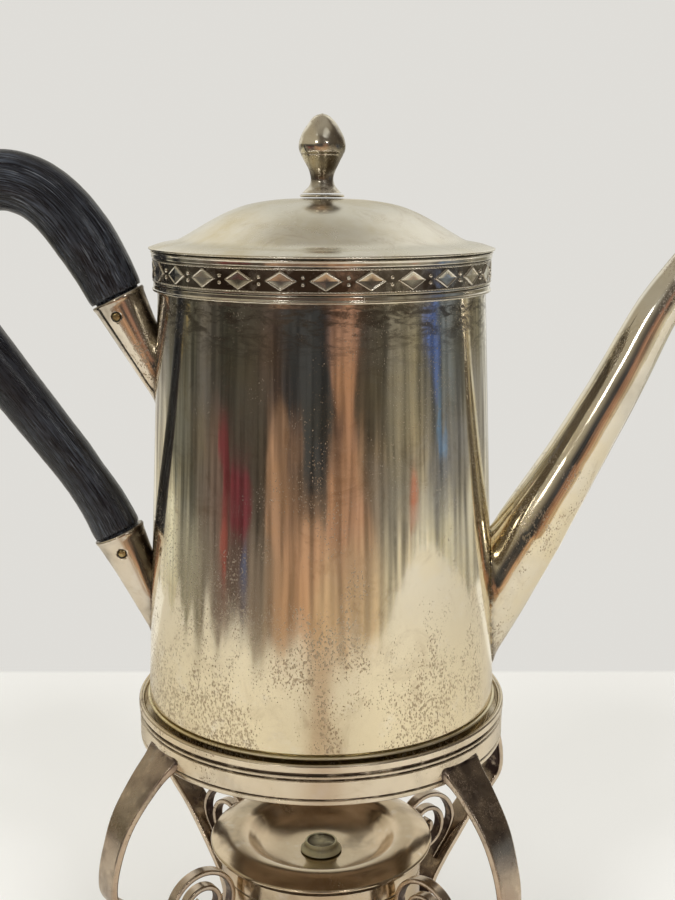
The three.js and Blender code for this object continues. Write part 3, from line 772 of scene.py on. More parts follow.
def milled_rail(radius, bottom, top):
    """Closed ring of fine teeth, the milled line that edges the frieze."""
    per_tooth, corners = 4, 5
    count = RAIL_TEETH * per_tooth
    vertices, oxide_and_shade, faces = [], [], []
    for j in range(count):
        angle = 2 * math.pi * j / count
        crest = radius + (0.22 if j % per_tooth in (1, 2) else 0.0)
        section = [(radius - 0.5, bottom, 0.5), (crest - 0.15, bottom, 0.1), (crest, (top + bottom) / 2, 0.1),
                   (crest - 0.15, top, 0.1), (radius - 0.5, top, 0.5)]
        for r, z, oxide_shade in section:
            vertices.append((r * math.cos(angle), r * math.sin(angle), z))
            oxide_and_shade.append(oxide_shade)
        here, there = j * corners, (j + 1) % count * corners
        for i in range(corners):
            h = (i + 1) % corners
            faces.append((here + i, there + i, there + h, here + h))
    return outward(solid("rail", vertices, faces, oxide_and_shade))


def make_frieze():
    bottom, top = low("frieze_band"), high("frieze_band")
    inner, rail = NECK_RADIUS + GAP, FRIEZE_GROUND + 0.35
    # The sunk ground carries dark oxide and painted shade between its rails.
    outline = [
        (inner, bottom, 0.9), (rail, bottom), (rail, bottom + 0.55), (FRIEZE_GROUND, bottom + 0.7, 0.85),
        (FRIEZE_GROUND, top - 0.35, 0.85), (rail, top - 0.3), (rail, top), (inner, top, 0.9),
    ]
    parts = [turned_ring("ground", outline, 0.08)]
    middle = (bottom + top) / 2 + 0.15
    pitch = 360 / DIAMONDS
    for i in range(DIAMONDS):
        angle = FRIEZE_TURN + i * pitch
        parts.append(diamond(angle, middle))
        parts.extend(bead(angle + pitch / 2, middle, up) for up in (-0.95, 0.95))
    for foot in (bottom + 0.55, top - 0.6):
        parts.append(milled_rail(FRIEZE_GROUND + 0.3, foot, foot + 0.4))
    placed(joined("frieze", parts), "pot", "silver", TRIM_SILVER, "frieze_band")


# ---- lid

LID_FACE = [(0, 15.1), (7, 15.0), (14, 14.6), (22, 13.3), (28, 11.3), (34, 8.3), (40, 4.8), (44, 2.7),
            (49, 1.7), (52.5, 0.55)]


def make_lid():
    face = smooth(LID_FACE, 70)
    under = [(r - 0.2, z - 0.9, 0.3) for r, z in face if 0.5 < r < 49.5]
    outline = [*face, (52.45, 0.15), (52.1, 0, 0.2), (51.5, 0, 0.5), *reversed(under), (0, 14.2, 0.3)]
    lid = turned("lid", raised(outline, LID_RIM))
    hammered(lid, depth=0.05, size=16, seed=3)
    placed(lid, "lid", "silver", LID_SILVER, "lid_dome")


def make_bezel():
    bottom, top, outer = extent("lid_bezel")
    outline = [(outer, bottom), (outer, top, 0.5), (outer - 0.8, top, 0.5), (outer - 0.8, bottom)]
    placed(turned_ring("bezel", outline, 0.25), "lid", "silver", TRIM_SILVER, "lid_bezel")


FINIAL = [(6.1, 0.1), (5.3, 1), (4.0, 2.4), (3.55, 4.3), (4.2, 6.8), (5.8, 9.9), (6.9, 12.1), (7.25, 14.1),
          (6.9, 15.9), (5.9, 18.2), (4.5, 20.4), (2.4, 22.7), (0, 23.6)]
FINIAL_WAIST = 5.0  # height of the darkened waist
FINIAL_SEAM = 11.5  # height of the thin line round the bud


def make_finial():
    outline = [(0, 0, 0.6), (5.8, 0, 0.6), (6.1, 0.05, 0.5)]
    for radius, height in smooth(FINIAL, 110)[1:-1]:
        seam = math.exp(-(((height - FINIAL_SEAM) / 0.25) ** 2))
        waist = max(0.0, 1 - abs(height - FINIAL_WAIST) / 4.5)
        outline.append((radius - 0.12 * seam, height, 0.85 * waist + 0.5 * seam))
    outline.append(FINIAL[-1])
    finial = turned("finial_bud", raised(outline, low("finial")), SMALL)
    hammered(finial, depth=0.16, size=3.2, seed=8)
    # Painted shade on the faces that look right, towards the front and down.
    painted_shade_towards(finial, lambda place: Vector((0.8, -0.4, -0.5)), 0.7)
    placed(finial, "lid", "silver", FINIAL_SILVER, "finial")


def make_finial_base():
    bottom, top, radius = extent("finial_base")
    outline = [(0, bottom, 0.7), (radius - 0.5, bottom, 0.9), (radius, bottom + 0.35),
               (radius - 0.5, top, 0.2), (0, top, 0.6)]
    disc = turned("finial_disc", rounded(outline, 0.25), SMALL)
    placed(disc, "lid", "silver", TRIM_SILVER, "finial_base")


# ---- spout

SPOUT_LINE = [(44, 13), (54, 30), (66.6, 53.7), (78.5, 74.8), (91.5, 99), (103.4, 123), (113.5, 137.5),
              (125.5, 149)]
SPOUT_SIZES = [(0, 11.2), (0.29, 11.1), (0.45, 9.2), (0.79, 6.9), (0.85, 6.3), (1, 6.1)]
SPOUT_ROUNDNESS = 0.92
SPOUT_WALL = 1.1


def solder(gap, amount, spread):
    """What is left of an amount at a gap from the wall that a piece is soldered to."""
    return amount * math.exp(-max(gap, 0.0) / spread)


def body_gap(place):
    return math.hypot(place.x, place.y) - body_radius(place.z)


def flared(obj, amount, spread=1.1):
    """Spreads a piece along its normals near the pot's wall, as its solder does, and darkens the joint with
    oxide and painted shade.
    """
    darken_points(obj, lambda vertex: solder(body_gap(vertex.co / MM), 0.9, 0.8))
    swollen(obj, lambda place: solder(body_gap(place), amount, spread))


def make_spout():
    path = smooth(from_ring(SPOUT_LINE), 170)

    def bar(inset):
        def section(t):
            depth = read_off(SPOUT_SIZES, t) - inset
            return oval(depth, depth * SPOUT_ROUNDNESS, 72)
        return section

    spout = lofted("spout_tube", path, bar(0))
    flared(spout, 0.9)
    trimmed(spout, lofted("bore", lengthened(path, 3), bar(SPOUT_WALL)))
    trimmed(spout, body_space())
    trimmed(spout, slab("above_tip", high("spout"), 60, 60, 190))
    hammered(spout, depth=0.06, size=9, seed=5)
    placed(spout, "pot", "silver", SPOUT_SILVER, "spout")


# ---- handle and sockets

SOCKET_WALL = 1.1
TENON_DEPTH = 9.5
SOCKETS = {
    "upper": {"line": [(-45, 90.9), (-50.9, 102.9), (-56.7, 114.8), (-62.6, 126.8)],
              "root": (3.75, 5.2), "mouth": (8.4, 7.3)},
    "lower": {"line": [(-50.5, 19.1), (-55, 30.3), (-59.5, 41.4), (-64.45, 52.3)],
              "root": (3.6, 4.8), "mouth": (8.1, 6.9)},
}


def socket_size(socket, t):
    """Half depth and half width of a socket along its line."""
    return [root + (mouth - root) * t for root, mouth in zip(socket["root"], socket["mouth"])]


def inside_bar(name, socket, depth, beyond, clearance):
    """Bar that fills a socket's inside, from a depth below its mouth to a little beyond it."""
    line = from_ring(socket["line"])
    length = math.dist(line[0], line[-1])
    mouth, before = Vector(line[-1]), Vector(line[-2])
    out = (mouth - before).normalized()

    def section(t):
        place = 1 + (beyond * t - depth * (1 - t)) / length
        deep, across = [value - SOCKET_WALL - clearance for value in socket_size(socket, place)]
        return oval(deep, across, 48)

    return lofted(name, [tuple(mouth - out * depth), tuple(mouth + out * beyond)], section)


def rivet_place(name):
    """Middle, radius and half length of a socket's rivet."""
    corner_low, corner_high = [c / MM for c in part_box(f"{name}_rivet")]
    half = (corner_high - corner_low) / 2
    return (corner_low + corner_high) / 2, half.z, half.y


def laid_across(obj, middle):
    """Turns an upright piece to lie along Y, with its middle at the given place."""
    obj.data.transform(Matrix.Translation(middle * MM) @ Matrix.Rotation(math.radians(90), 4, "X"))
    return obj


def rivet_hole(name):
    """Cutter that leaves a gap round a socket's rivet and runs past both sides."""
    middle, radius = rivet_place(name)[:2]
    half = 20
    outline = [(0, -half), (radius + GAP, -half), (radius + GAP, half), (0, half)]
    return laid_across(turned("rivet_hole", rounded(outline, 0.2), 32), middle)


def make_rivet(name):
    middle, radius, half = rivet_place(name)
    half -= 0.1
    head = [(0, half), (radius * 0.6, half - 0.03), (radius * 0.85, half - 0.12, 0.3),
            (radius, half - 0.35, 1.0)]
    outline = [*head, *[(r, -z, *oxide_shade) for r, z, *oxide_shade in reversed(head)]]
    rivet = laid_across(turned(f"{name}_pin", outline, 40), middle)
    placed(rivet, "pot", "brass", BRASS, f"{name}_rivet")


def make_socket(name):
    socket = SOCKETS[name]

    def section(t):
        lip = 0.28 * math.exp(-(((1 - t) * 40 - 0.7) / 0.55) ** 2)
        deep, across = [value + lip for value in socket_size(socket, t)]
        return oval(deep, across, 64)

    ferrule = lofted(f"{name}_ferrule", smooth(from_ring(socket["line"]), 60), section)
    flared(ferrule, 0.35, 0.6)
    trimmed(ferrule, inside_bar("cavity", socket, TENON_DEPTH, 2, 0))
    trimmed(ferrule, body_space())
    trimmed(ferrule, rivet_hole(name))
    # Painted dark reflection on the faces that look towards the pot and up.
    painted_shade_towards(ferrule, lambda place: Vector((0.7, 0, 0.5)), 0.9)
    placed(ferrule, "pot", "silver", SOCKET_SILVER, f"{name}_socket")


HANDLE_LINE = [
    (-62.9, 127.3), (-68.3, 138), (-75.2, 148.6), (-82.2, 156.2), (-89.5, 160.4), (-98, 161.6),
    (-110, 158.2), (-118.6, 149.6), (-121.2, 138.5), (-117, 126.5), (-105.5, 111.8), (-95.8, 99.4),
    (-87, 87.6), (-77.9, 75.2), (-69.8, 62.7), (-64.8, 52.8),
]
HANDLE_DEPTHS = [(0, 8.6), (0.1, 9.6), (0.22, 9.3), (0.4, 9.2), (0.55, 9.6), (0.72, 7.9), (0.9, 7.2),
                 (1, 7.8)]
HANDLE_FLATNESS = 0.8


def make_handle():
    def section(t):
        depth = read_off(HANDLE_DEPTHS, t)
        ease = 0.35 * (math.exp(-t * 260) + math.exp(-(1 - t) * 260))
        return oval(depth - ease, depth * HANDLE_FLATNESS - ease, 96, 2.3)

    handle = lofted("handle_loop", smooth(from_ring(HANDLE_LINE), 260), section)
    hammered(handle, depth=0.10, size=9, seed=11)
    hammered(handle, depth=0.05, size=1.6, seed=12)
    placed(handle, "pot", "ebonised_wood", EBONY, "wood_handle")


def make_tenon(name):
    tenon = inside_bar(f"{name}_tenon", SOCKETS[name], TENON_DEPTH - GAP, 3, GAP)
    trimmed(tenon, rivet_hole(name))
    placed(tenon, "pot", "ebonised_wood", EBONY)


# ---- stand

RING_BORE = 57
LEDGE_BORE = 52.5


def make_ring():
    """The stand's ring: a moulding over two grooves, a plain band with a low line, and a ledge inside."""
    bottom, seat = low("stand_ring") - RING_TOP, SEAT_TOP - RING_TOP
    face, groove = RING_BAND, RING_BAND - 0.5
    # The third values lay dark oxide and painted shade into the grooves, the low line and the ledge inside.
    outline = [
        (RING_BORE, seat, 0.1), (RING_BORE, -0.9), (57.35, -0.35), (57.7, -0.2), (57.9, -0.25, 0.4),
        (58.1, 0), (58.6, 0), (RING_RADIUS, -0.5), (RING_RADIUS, -2.3), (RING_RADIUS - 0.2, -2.6, 0.6),
        (groove, -2.8, 1.0), (groove, -3.3, 1.0), (face + 0.1, -3.5, 0.3), (face + 0.1, -4.3, 0.1),
        (groove, -4.55, 1.0), (groove, -4.85, 1.0), (face, -5.1, 0.2), (face, -10.4),
        (face - 0.35, -10.6, 1.0), (face - 0.35, -10.8, 1.0), (face, -11.0), (face, bottom + 0.3),
        (face - 0.3, bottom), (RING_BORE + 0.3, bottom), (RING_BORE, bottom + 0.3, 0.4),
        (RING_BORE, seat - 1.2, 0.8), (LEDGE_BORE, seat - 1.2, 0.4), (LEDGE_BORE, seat, 0.1),
    ]
    ring = turned_ring("ring_band", from_ring(outline), 0.16)
    hammered(ring, depth=0.05, size=14, seed=21)
    placed(ring, "stand", "tarnished_silver", RING_SILVER, "stand_ring")


LEG_LINE = [(57.2, -8.4), (64.6, -15.8), (71.8, -25.6), (75.7, -35.3), (77.6, -44), (76.9, -50.2),
            (71.5, -55.8), (64.2, -62), (57.7, -69.2), (51.7, -76.2), (46.7, -83.2), (43.8, -91),
            (43.6, -99), (46.4, -106.3)]
LEG_THICKNESS = 2.4
LEG_WIDTHS = [(0, 15.5), (0.12, 12.6), (0.25, 10.2), (0.35, 9.5), (1, 9.5)]
LEG_TOP_REACH = RING_TOP - 20  # above this height the leg's solder can spread
LEG_KNEE = RING_TOP - 52
TOE = [(52, 1.2), (60, 1.2)]


def leg_solder(place, amount, spread):
    """What is left of an amount at a place on a leg, away from the ring's band."""
    gap = math.hypot(place.x, place.y) - RING_BAND
    return solder(gap, amount, spread) if place.z > LEG_TOP_REACH else 0.0


def leg_shade_side(place):
    """Which way the leg's painted shade faces: outward and up above the knee, inward below it."""
    return Vector((1, 0, 0.4)) if place.z > LEG_KNEE else Vector((-1, 0, 0))


def rotated(obj, degrees):
    """Turns the mesh about the pot's axis."""
    obj.data.transform(Matrix.Rotation(math.radians(degrees), 4, "Z"))


def make_leg(side):
    path = smooth([*from_ring(LEG_LINE), *TOE], 150)
    leg = lofted(f"strap_{side}", path, lambda t: flat_bar(read_off(LEG_WIDTHS, t), LEG_THICKNESS, 0.75),
                 lambda place: leg_solder(place, 0.9, 1.2))
    swollen(leg, lambda place: leg_solder(place, 0.8, 1.3))
    inside = RING_BAND - 0.6
    trimmed(leg, turned("ring_space", from_ring([(0, -30), (inside, -30), (inside, 5), (0, 5)]), 128))
    trimmed(leg, slab("floor_space", -20, 20, -20, 120))
    hammered(leg, depth=0.05, size=10, seed=31)
    # Painted shade on the inner faces, which look towards the axis and down, and on the sides the next line
    # picks.
    painted_shade_towards(leg, lambda place: Vector((-1, 0, -0.3)), 0.95)
    painted_shade_towards(leg, leg_shade_side, 0.35)
    rotated(leg, LEG_ANGLES[side])
    placed(leg, "stand", "tarnished_silver", STAND_SILVER, f"leg_{side}")


SCROLL_CENTRE = (45, -62.8)
SCROLL_START = 1.6
SCROLL_PITCH = 5.1
SCROLL_TURNS = 2.1
SCROLL_TAIL = [(56.7, -65.6), (54.5, -69.4), (51, -73.5), (48.5, -76.5)]


def make_scroll(side):
    """A strap that winds out from its eye and runs down the inner face of its leg."""
    x, z = SCROLL_CENTRE
    steps = 60
    points = []
    for i in range(steps + 1):
        turns = SCROLL_TURNS * i / steps
        angle = 2 * math.pi * (SCROLL_TURNS - turns)
        radius = SCROLL_START + SCROLL_PITCH * turns
        points.append((x + radius * math.cos(angle), z + radius * math.sin(angle)))
    path = smooth(from_ring([*points, *SCROLL_TAIL]), 240)
    # The whole curl is darkened a little, and painted shade is laid on the faces that look into its eye.
    curl = lofted(f"curl_{side}", path, lambda t: flat_bar(3.8, 1.7, 0.5), lambda place: 0.25)
    eye = Vector((x, 0, RING_TOP + z))
    painted_shade_towards(curl, lambda place: eye - place, 0.95)
    rotated(curl, LEG_ANGLES[side])
    placed(curl, "stand", "tarnished_silver", STAND_SILVER, f"scroll_{side}")


def make_tray():
    bottom, top = low("burner_tray"), high("burner_tray")
    outline = [(25, TRAY_TOP, 0.3), (25, bottom), (42, bottom), (42, top), (41, top), (41, TRAY_TOP, 0.9)]
    tray = turned_ring("burner_shelf", outline, 0.3)
    placed(tray, "stand", "tarnished_silver", STAND_SILVER, "burner_tray")


# ---- burner

def make_drum():
    bottom, top, radius = extent("burner_drum")
    outline = [
        (0, bottom), (radius - 1.2, bottom), (radius, bottom + 1.2), (radius, top - 9.6),
        (radius - 0.25, top - 9.4, 1.0), (radius - 0.25, top - 9.2, 1.0), (radius, top - 9.0), (radius, top),
        (radius - 1, top), (radius - 1, bottom + 1.6, 0.6), (0, bottom + 1.6, 0.4),
    ]
    drum = turned("drum", rounded(outline, 0.2))
    placed(drum, "burner", "tarnished_silver", BURNER_SILVER, "burner_drum")


def make_wick_holder():
    bottom, top = low("wick_holder"), high("wick_holder")
    outline = [(4, bottom), (4, top - 0.3), (4.5, top), (5, top - 0.3), (5, bottom + 2.2, 0.4),
               (6, bottom + 1.4, 0.6), (12, bottom + 1.2), (12, bottom)]
    holder = turned_ring("wick_tube", outline, 0.2, SMALL)
    placed(holder, "burner", "brass", BRASS, "wick_holder")


def make_wick():
    """A cotton plug pressed in between its twisted strands."""
    bottom, top, radius = extent("wick")
    outline = [(0, bottom), (radius, bottom), (radius, top - 1.6), (radius - 0.8, top - 0.4), (0, top)]
    wick = turned("wick_plug", rounded(outline, 0.4), SMALL)
    for vertex in wick.data.vertices:
        angle = math.atan2(vertex.co.y, vertex.co.x)
        vertex.co.xy *= 1 - 0.04 * (1 + math.cos(14 * angle + 600 * vertex.co.z)) / 2
    placed(wick, "burner", "cotton", COTTON, "wick")


COVER_FACE = [(0, -5.8), (6, -5.8), (11, -5.7), (15, -5.0), (19, -3.6), (21.2, -2.1), (23, -0.4), (24.6, 1.1),
              (26.6, 2), (28.6, 2.3), (31, 2.2), (34, 1.4), (36.3, 0.5)]
COVER_EDGE = [(36.75, 0.2), (36.9, -0.2), (36.8, -0.6, 0.1), (36.2, -0.85, 0.7), (34.8, -1.2, 1.0),
              (34.6, -1.5, 0.5), (34.6, -2.8), (33.8, -2.8), (33.8, 0.3, 0.4)]


def make_cover():
    face = smooth(COVER_FACE, 90)
    under = [(r - 0.2, z - 0.9, 0.4) for r, z in face if 0.5 < r < 33]
    outline = [*face, *COVER_EDGE, *reversed(under), (0, -6.7, 0.4)]
    cover = turned("cover", raised(outline, COVER_RIM))
    hammered(cover, depth=0.07, size=12, seed=41)
    placed(cover, "cover", "silver", BURNER_SILVER, "burner_cover")


def make_knob():
    bottom, top = low("cover_knob"), high("cover_knob")
    outline = [
        (0, bottom, 0.8), (6.9, bottom, 0.4), (6.8, bottom + 0.4), (6.2, bottom + 0.9),
        (5.5, bottom + 1.7, 0.3), (5.4, top - 0.4), (5.1, top), (4.7, top, 0.1), (4.5, top - 0.45, 0.9),
        (0, top - 0.5, 0.1),
    ]
    placed(turned("knob", rounded(outline, 0.2), SMALL), "cover", "silver", KNOB_SILVER, "cover_knob")


# ---- table

WALL_TONE = (0.74, 0.725, 0.69)
TABLE_TONE = (0.85, 0.86, 0.86)
BLACK = (0, 0, 0)
TABLE_DEPTH = 0.295  # how far behind the pot the table's bright top runs, in metres
TABLE_REACH = 0.56  # how far round the pot the table shows in the silver, in metres
FLOOR_HALF = 3000  # half the floor's width, in millimetres
PAPER_GRAIN = 0.00002  # relief of the table top, in metres


def table_rim(degrees):
    """Reach of the mirrored table: further on the right, with things standing along its edge, in metres."""
    right = 0.28 * math.exp(-(((degrees - 72) / 26) ** 2))
    large = noise.noise(Vector((degrees / 9, 0.3, 0)))
    small = noise.noise(Vector((degrees / 3, 4.3, 0)))
    left = math.exp(-(((degrees + 75) / 40) ** 2))
    return TABLE_REACH + right + (0.12 * large + 0.06 * small) * (0.35 + left)


def matt(s, colour, **others):
    """Finishes a table's material without any shine."""
    return s.finish(colour, 1.0, s.bump(s.cloud(900, 2), PAPER_GRAIN), 0.0, Specular_IOR_Level=0.0, **others)


def floor_material():
    """Pale table top that turns to the wall's tone behind the object and far from it."""
    s = new_shading("pale_floor")
    behind = s.between(s.axis("Y"), TABLE_DEPTH - 0.003, TABLE_DEPTH + 0.003)
    away = s.between(s.vector("LENGTH", {0: s.places}, "Value"), 0.5, 1.3)
    back = s.larger(behind, away)
    return matt(s, s.mixed(back, TABLE_TONE, BLACK), Emission_Color=s.mixed(back, BLACK, WALL_TONE),
                Emission_Strength=1.0)


def mirrored_table_material():
    """The same table as the silver sees it, darker along the middle, with a painted shadow in front where
    someone leans over it.
    """
    s = new_shading("mirrored_table")
    wander = s.times(s.minus(s.cloud(9, 3, 0.6), 0.5), 0.16)
    aside = s.number("ABSOLUTE", s.plus(s.axis("X"), wander))
    # Painted shadow of someone leaning over the table in front of the pot.
    strip = s.times(s.between(aside, 0.01, 0.10, 1, 0), s.between(s.axis("Y"), -0.45, -0.15, 1, 0.75))
    table = s.mixed(s.between(aside, 0.08, 0.30), (0.71, 0.70, 0.68), (0.83, 0.82, 0.79))
    return matt(s, s.mixed(s.times(strip, 0.65), table, (0.38, 0.27, 0.20)))


def make_table():
    """The floor that the camera sees, and the round table top that only the silver sees."""
    corners = [(-FLOOR_HALF, -FLOOR_HALF, 0), (FLOOR_HALF, -FLOOR_HALF, 0), (FLOOR_HALF, FLOOR_HALF, 0),
               (-FLOOR_HALF, FLOOR_HALF, 0)]
    sheet = solid("floor", corners, [(0, 1, 2, 3)])
    depth = -0.05
    count = 360
    rim = []
    for i in range(count):
        distance = table_rim(i - 360 if i > 180 else i) / MM
        rim.append((distance * math.sin(math.radians(i)), -distance * math.cos(math.radians(i)), depth))
    fan = [(i, (i + 1) % count, count) for i in range(count)]
    mirror_table = solid("table_in_reflections", [*rim, (0, 0, depth)], fan)
    for obj, material in ((sheet, floor_material()), (mirror_table, mirrored_table_material())):
        obj.data.materials.append(material)
        obj.visible_shadow = False
    sheet.visible_glossy = False
    mirror_table.visible_camera = False
    mirror_table.visible_diffuse = False


# ---- room

# What the silver sees round the room, by degrees to the right of straight ahead of the pot.
PALE = (0.78, 0.76, 0.70)
ROOM_AT_EYE_LEVEL = {
    -180: PALE, -158: (0.62, 0.60, 0.54), -146: (0.30, 0.28, 0.25), -128: (0.10, 0.09, 0.07),
    -112: (0.14, 0.125, 0.09), -100: (0.09, 0.085, 0.065), -84: (0.11, 0.10, 0.09), -66: (0.05, 0.048, 0.04),
    -45: (0.065, 0.055, 0.043), -31: (0.085, 0.06, 0.05), -22: (0.045, 0.045, 0.047), 3: (0.045, 0.046, 0.05),
    9: (0.25, 0.14, 0.10), 20: (0.30, 0.165, 0.115), 24: (0.07, 0.055, 0.045), 38: (0.08, 0.07, 0.055),
    44: (0.17, 0.155, 0.13), 66: (0.23, 0.21, 0.16), 76: (0.12, 0.12, 0.12), 90: (0.15, 0.17, 0.19),
    108: (0.12, 0.12, 0.11), 122: (0.20, 0.175, 0.12), 140: (0.16, 0.145, 0.10), 150: (0.60, 0.58, 0.50),
    160: PALE, 180: PALE,
}
ROOM_AT_CHEST_LEVEL = {
    -180: PALE, -155: (0.45, 0.42, 0.38), -120: (0.13, 0.135, 0.12), -96: (0.13, 0.12, 0.095),
    -72: (0.15, 0.10, 0.08), -52: (0.06, 0.05, 0.04), -38: (0.065, 0.05, 0.038), -33: (0.30, 0.18, 0.115),
    -22: (0.30, 0.17, 0.11), -12: (0.12, 0.085, 0.065), 2: (0.09, 0.07, 0.06), 8: (0.36, 0.20, 0.12),
    24: (0.38, 0.22, 0.135), 34: (0.22, 0.165, 0.12), 48: (0.22, 0.20, 0.165), 66: (0.32, 0.28, 0.21),
    84: (0.17, 0.17, 0.175), 112: (0.20, 0.19, 0.175), 140: (0.27, 0.25, 0.21), 156: (0.60, 0.58, 0.52),
    180: PALE,
}
ROOM_AT_TABLE_LEVEL = {
    -180: PALE, -150: (0.62, 0.58, 0.48), -117: (0.52, 0.48, 0.36), -96: (0.28, 0.26, 0.20),
    -72: (0.16, 0.12, 0.10), -52: (0.14, 0.10, 0.085), -40: (0.20, 0.16, 0.125), -26: (0.34, 0.21, 0.13),
    -12: (0.46, 0.27, 0.16), 2: (0.54, 0.38, 0.24), 16: (0.47, 0.33, 0.21), 30: (0.54, 0.41, 0.27),
    45: (0.54, 0.48, 0.36), 62: (0.76, 0.67, 0.51), 81: (0.54, 0.51, 0.40), 110: (0.46, 0.43, 0.35),
    140: (0.55, 0.52, 0.43), 160: (0.40, 0.37, 0.31), 180: PALE,
}
# Bright or deep-coloured things in the room: degrees round, sine of the height, half sizes, colour.
ROOM_THINGS = [
    (82, -0.055, 4.0, 0.050, (0.10, 0.16, 0.42)),
    (76, -0.035, 2.2, 0.030, (0.16, 0.19, 0.36)),
    (86, -0.125, 3.0, 0.030, (0.16, 0.26, 0.42)),
    (60, -0.175, 3.0, 0.022, (0.55, 0.13, 0.06)),
    (-140, -0.165, 8.0, 0.035, (0.50, 0.48, 0.43)),
    (-5, -0.080, 11.0, 0.085, (0.045, 0.046, 0.048)),
    (14, -0.085, 7.0, 0.055, (0.36, 0.20, 0.13)),
    (-27, -0.150, 9.0, 0.065, (0.36, 0.215, 0.135)),
    (13, -0.165, 11.0, 0.045, (0.40, 0.225, 0.14)),
    (-8, -0.205, 14.0, 0.030, (0.46, 0.27, 0.165)),
    (-68, -0.150, 6.0, 0.036, (0.18, 0.04, 0.045)),
    (-55, -0.170, 8.0, 0.026, (0.16, 0.03, 0.04)),
    (-67, -0.210, 3.5, 0.030, (0.36, 0.10, 0.08)),
    (-50, -0.225, 3.5, 0.022, (0.10, 0.12, 0.20)),
    (-108, -0.040, 4.0, 0.050, (0.34, 0.25, 0.10)),
    (70, -0.220, 6.0, 0.035, (0.78, 0.74, 0.62)),
    (-118, -0.225, 7.0, 0.028, (0.62, 0.60, 0.48)),
]
# Lamps and pale screens higher up, in the same terms.
UPPER_THINGS = [
    (29, 0.76, 17.0, 0.130, (0.66, 0.64, 0.59)),
    (-36, 0.77, 10.0, 0.060, (0.70, 0.68, 0.62)),
    (24, 0.38, 9.0, 0.060, (0.50, 0.48, 0.43)),
    (-26, 0.36, 9.0, 0.060, (0.46, 0.44, 0.38)),
]


def round_the_room(s, turn, stops):
    """Colour at a turn from 0 to 1, read off stops given in degrees."""
    ramp = s.node("ShaderNodeValToRGB", {0: turn})
    elements = ramp.color_ramp.elements
    elements.remove(elements[1])
    for i, (degrees, colour) in enumerate(stops.items()):
        position = (degrees + 180) / 360
        element = elements.new(position) if i else elements[0]
        element.position = position
        element.color = (*colour, 1)
    return ramp.outputs["Color"]


def with_things(s, room, things, angle, z, edge):
    """The room with oval things in front of it, soft over the given stretch of their edges."""
    for degrees, sine, half_turn, half_drop, colour in things:
        aside = s.times(s.minus(angle, math.radians(degrees)), 1 / math.radians(half_turn))
        below = s.times(s.minus(z, sine), 1 / half_drop)
        distance = s.plus(s.times(aside, aside), s.times(below, below))
        room = s.mixed(s.between(distance, *edge, 0.9, 0), room, colour)
    return room


def lower_room(s, z, angle):
    """People, furniture and things level with the pot and below it, in streaks of light and shade."""
    turn = s.plus(s.times(angle, 1 / (2 * math.pi)), 0.5, clamp=True)
    columns = s.minus(s.cloud(1, 3, 0.6, s.stretched((9, 9, 0.8))), 0.5)
    drop = s.plus(z, s.times(columns, 0.13))
    eye = round_the_room(s, turn, ROOM_AT_EYE_LEVEL)
    chest = round_the_room(s, turn, ROOM_AT_CHEST_LEVEL)
    table = round_the_room(s, turn, ROOM_AT_TABLE_LEVEL)
    room = s.mixed(s.between(drop, -0.14, -0.09, 1, 0), eye, chest)
    room = s.mixed(s.between(drop, -0.22, -0.17, 1, 0), room, table)
    room = with_things(s, room, ROOM_THINGS, angle, z, (0.75, 1.15))
    streaks = s.between(s.cloud(1, 2, 0.6, s.stretched((17, 17, 5))), 0.34, 0.64, 0.60, 1.40)
    return s.vector("SCALE", {0: room, "Scale": streaks})


def upper_room(s, x, y, z, angle):
    """Walls and ceiling: bright behind the pot, dim in front of it and darkest on the right, with lamps."""
    level = s.number("SQRT", s.minus(1.0, s.times(z, z)))
    behind = s.between(s.number("DIVIDE", y, level), 0.50, 0.85)
    aside = s.between(s.number("ABSOLUTE", x), 0.10, 0.40)
    back_wall = s.mixed(aside, (0.62, 0.60, 0.53), (0.86, 0.83, 0.75))
    front_wall = s.mixed(s.between(x, -0.50, -0.05, 1, 0), (0.12, 0.10, 0.08), (0.42, 0.375, 0.29))
    walls = s.mixed(behind, front_wall, back_wall)
    walls = s.mixed(s.between(z, 0.70, 0.97), walls, (0.34, 0.31, 0.26))
    return with_things(s, walls, UPPER_THINGS, angle, z, (0.0, 1.2))


def make_world():
    """Surroundings: the room for the silver and the light, a plain wall for the camera."""
    world = bpy.data.worlds.new("studio")
    bpy.context.scene.world = world
    s = Shading(world, "Generated")
    x, y, z = [s.axis(name) for name in "XYZ"]
    wobble = s.minus(s.cloud(5, 2, 0.5, s.stretched((1, 1, 3))), 0.5)
    angle = s.plus(s.number("ARCTAN2", x, s.times(y, -1.0)), s.times(wobble, 0.45))
    room = s.mixed(s.between(z, 0.02, 0.16), lower_room(s, z, angle), upper_room(s, x, y, z, angle))
    camera_ray = s.node("ShaderNodeLightPath").outputs["Is Camera Ray"]
    s.feed(s.tree.nodes["Background"].inputs["Color"], s.mixed(camera_ray, room, WALL_TONE))


# ---- lights and camera

LIGHT_TARGET = Vector((0, 0, 0.12))


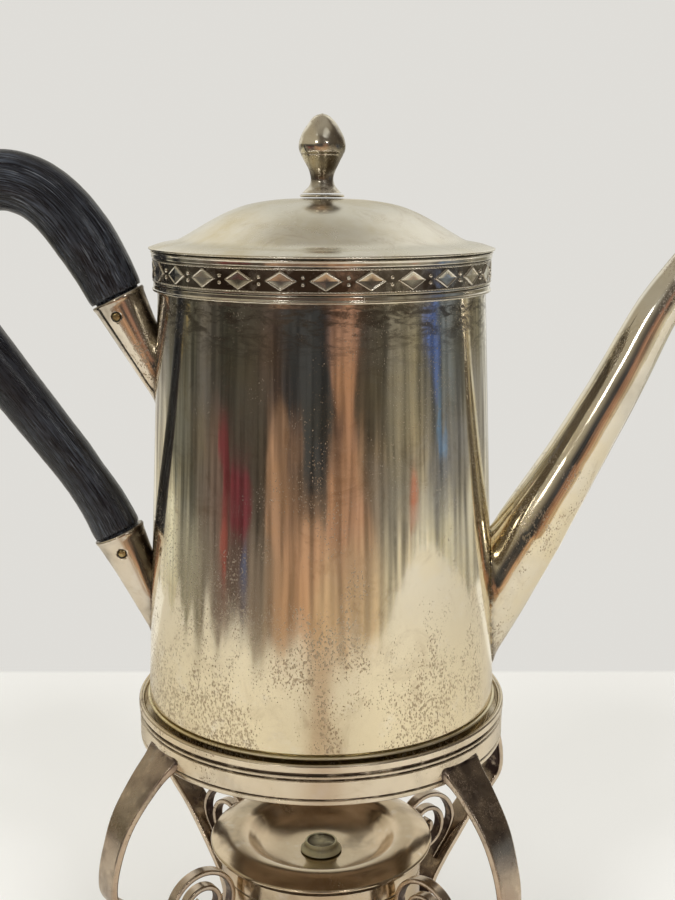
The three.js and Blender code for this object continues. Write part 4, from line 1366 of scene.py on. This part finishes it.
def make_light(name, place, size, power, mirrored=False, colour=(1, 0.985, 0.96)):
    light = bpy.data.lights.new(name, "AREA")
    light.shape = "RECTANGLE"
    light.size, light.size_y = size
    light.energy = power
    light.color = colour
    made = bpy.data.objects.new(name, light)
    made.location = place
    made.rotation_euler = (LIGHT_TARGET - Vector(place)).to_track_quat("-Z", "Y").to_euler()
    made.visible_glossy = mirrored
    bpy.context.scene.collection.objects.link(made)


def make_lights():
    make_light("ceiling_panel", (0.0, 0.25, 1.5), (1.8, 1.4), 12, colour=(1, 1, 0.99))
    make_light("lamp_left", (-0.55, -0.75, 1.15), (0.35, 0.2), 5)
    make_light("lamp_right", (0.45, -0.75, 1.15), (0.35, 0.2), 5)
    make_light("lamp_low_left", (-0.65, -1.3, 0.75), (0.16, 0.16), 1.0, mirrored=True)
    make_light("lamp_low_right", (0.55, -1.3, 0.72), (0.16, 0.16), 1.0, mirrored=True)


CAMERA_HEIGHT = RING_TOP + 163.5
CAMERA_DISTANCE = 400.0
CAMERA_PITCH = math.radians(11.94)  # how far it looks down
CAMERA_YAW = math.radians(0.71)  # how far it looks to the right
CAMERA_ROLL = math.radians(0.23)


def make_camera():
    camera = bpy.data.cameras.new("camera")
    camera.lens = 52
    camera.sensor_width = 36
    camera.clip_start = 0.01
    made = bpy.data.objects.new("camera", camera)
    place = Matrix.Translation((0, -CAMERA_DISTANCE * MM, CAMERA_HEIGHT * MM))
    turn = Matrix.Rotation(-CAMERA_YAW, 4, "Z")
    tilt = Matrix.Rotation(math.radians(90) - CAMERA_PITCH, 4, "X")
    made.matrix_world = place @ turn @ tilt @ Matrix.Rotation(CAMERA_ROLL, 4, "Z")
    bpy.context.scene.collection.objects.link(made)
    bpy.context.scene.camera = made


# ---- assembly

make_camera()
make_world()
make_lights()
make_table()
bpy.context.scene.view_settings.view_transform = "Standard"

make_body()
make_base()
make_foot_wire()
make_neck_strips()
make_frieze()
make_lid()
make_bezel()
make_finial_base()
make_finial()
make_spout()
for end in SOCKETS:
    make_socket(end)
    make_rivet(end)
make_handle()
for end in SOCKETS:
    make_tenon(end)
make_ring()
for leg_side in LEG_ANGLES:
    make_leg(leg_side)
    make_scroll(leg_side)
make_tray()
make_drum()
make_wick_holder()
make_wick()
make_cover()
make_knob()

bpy.context.view_layer.update()
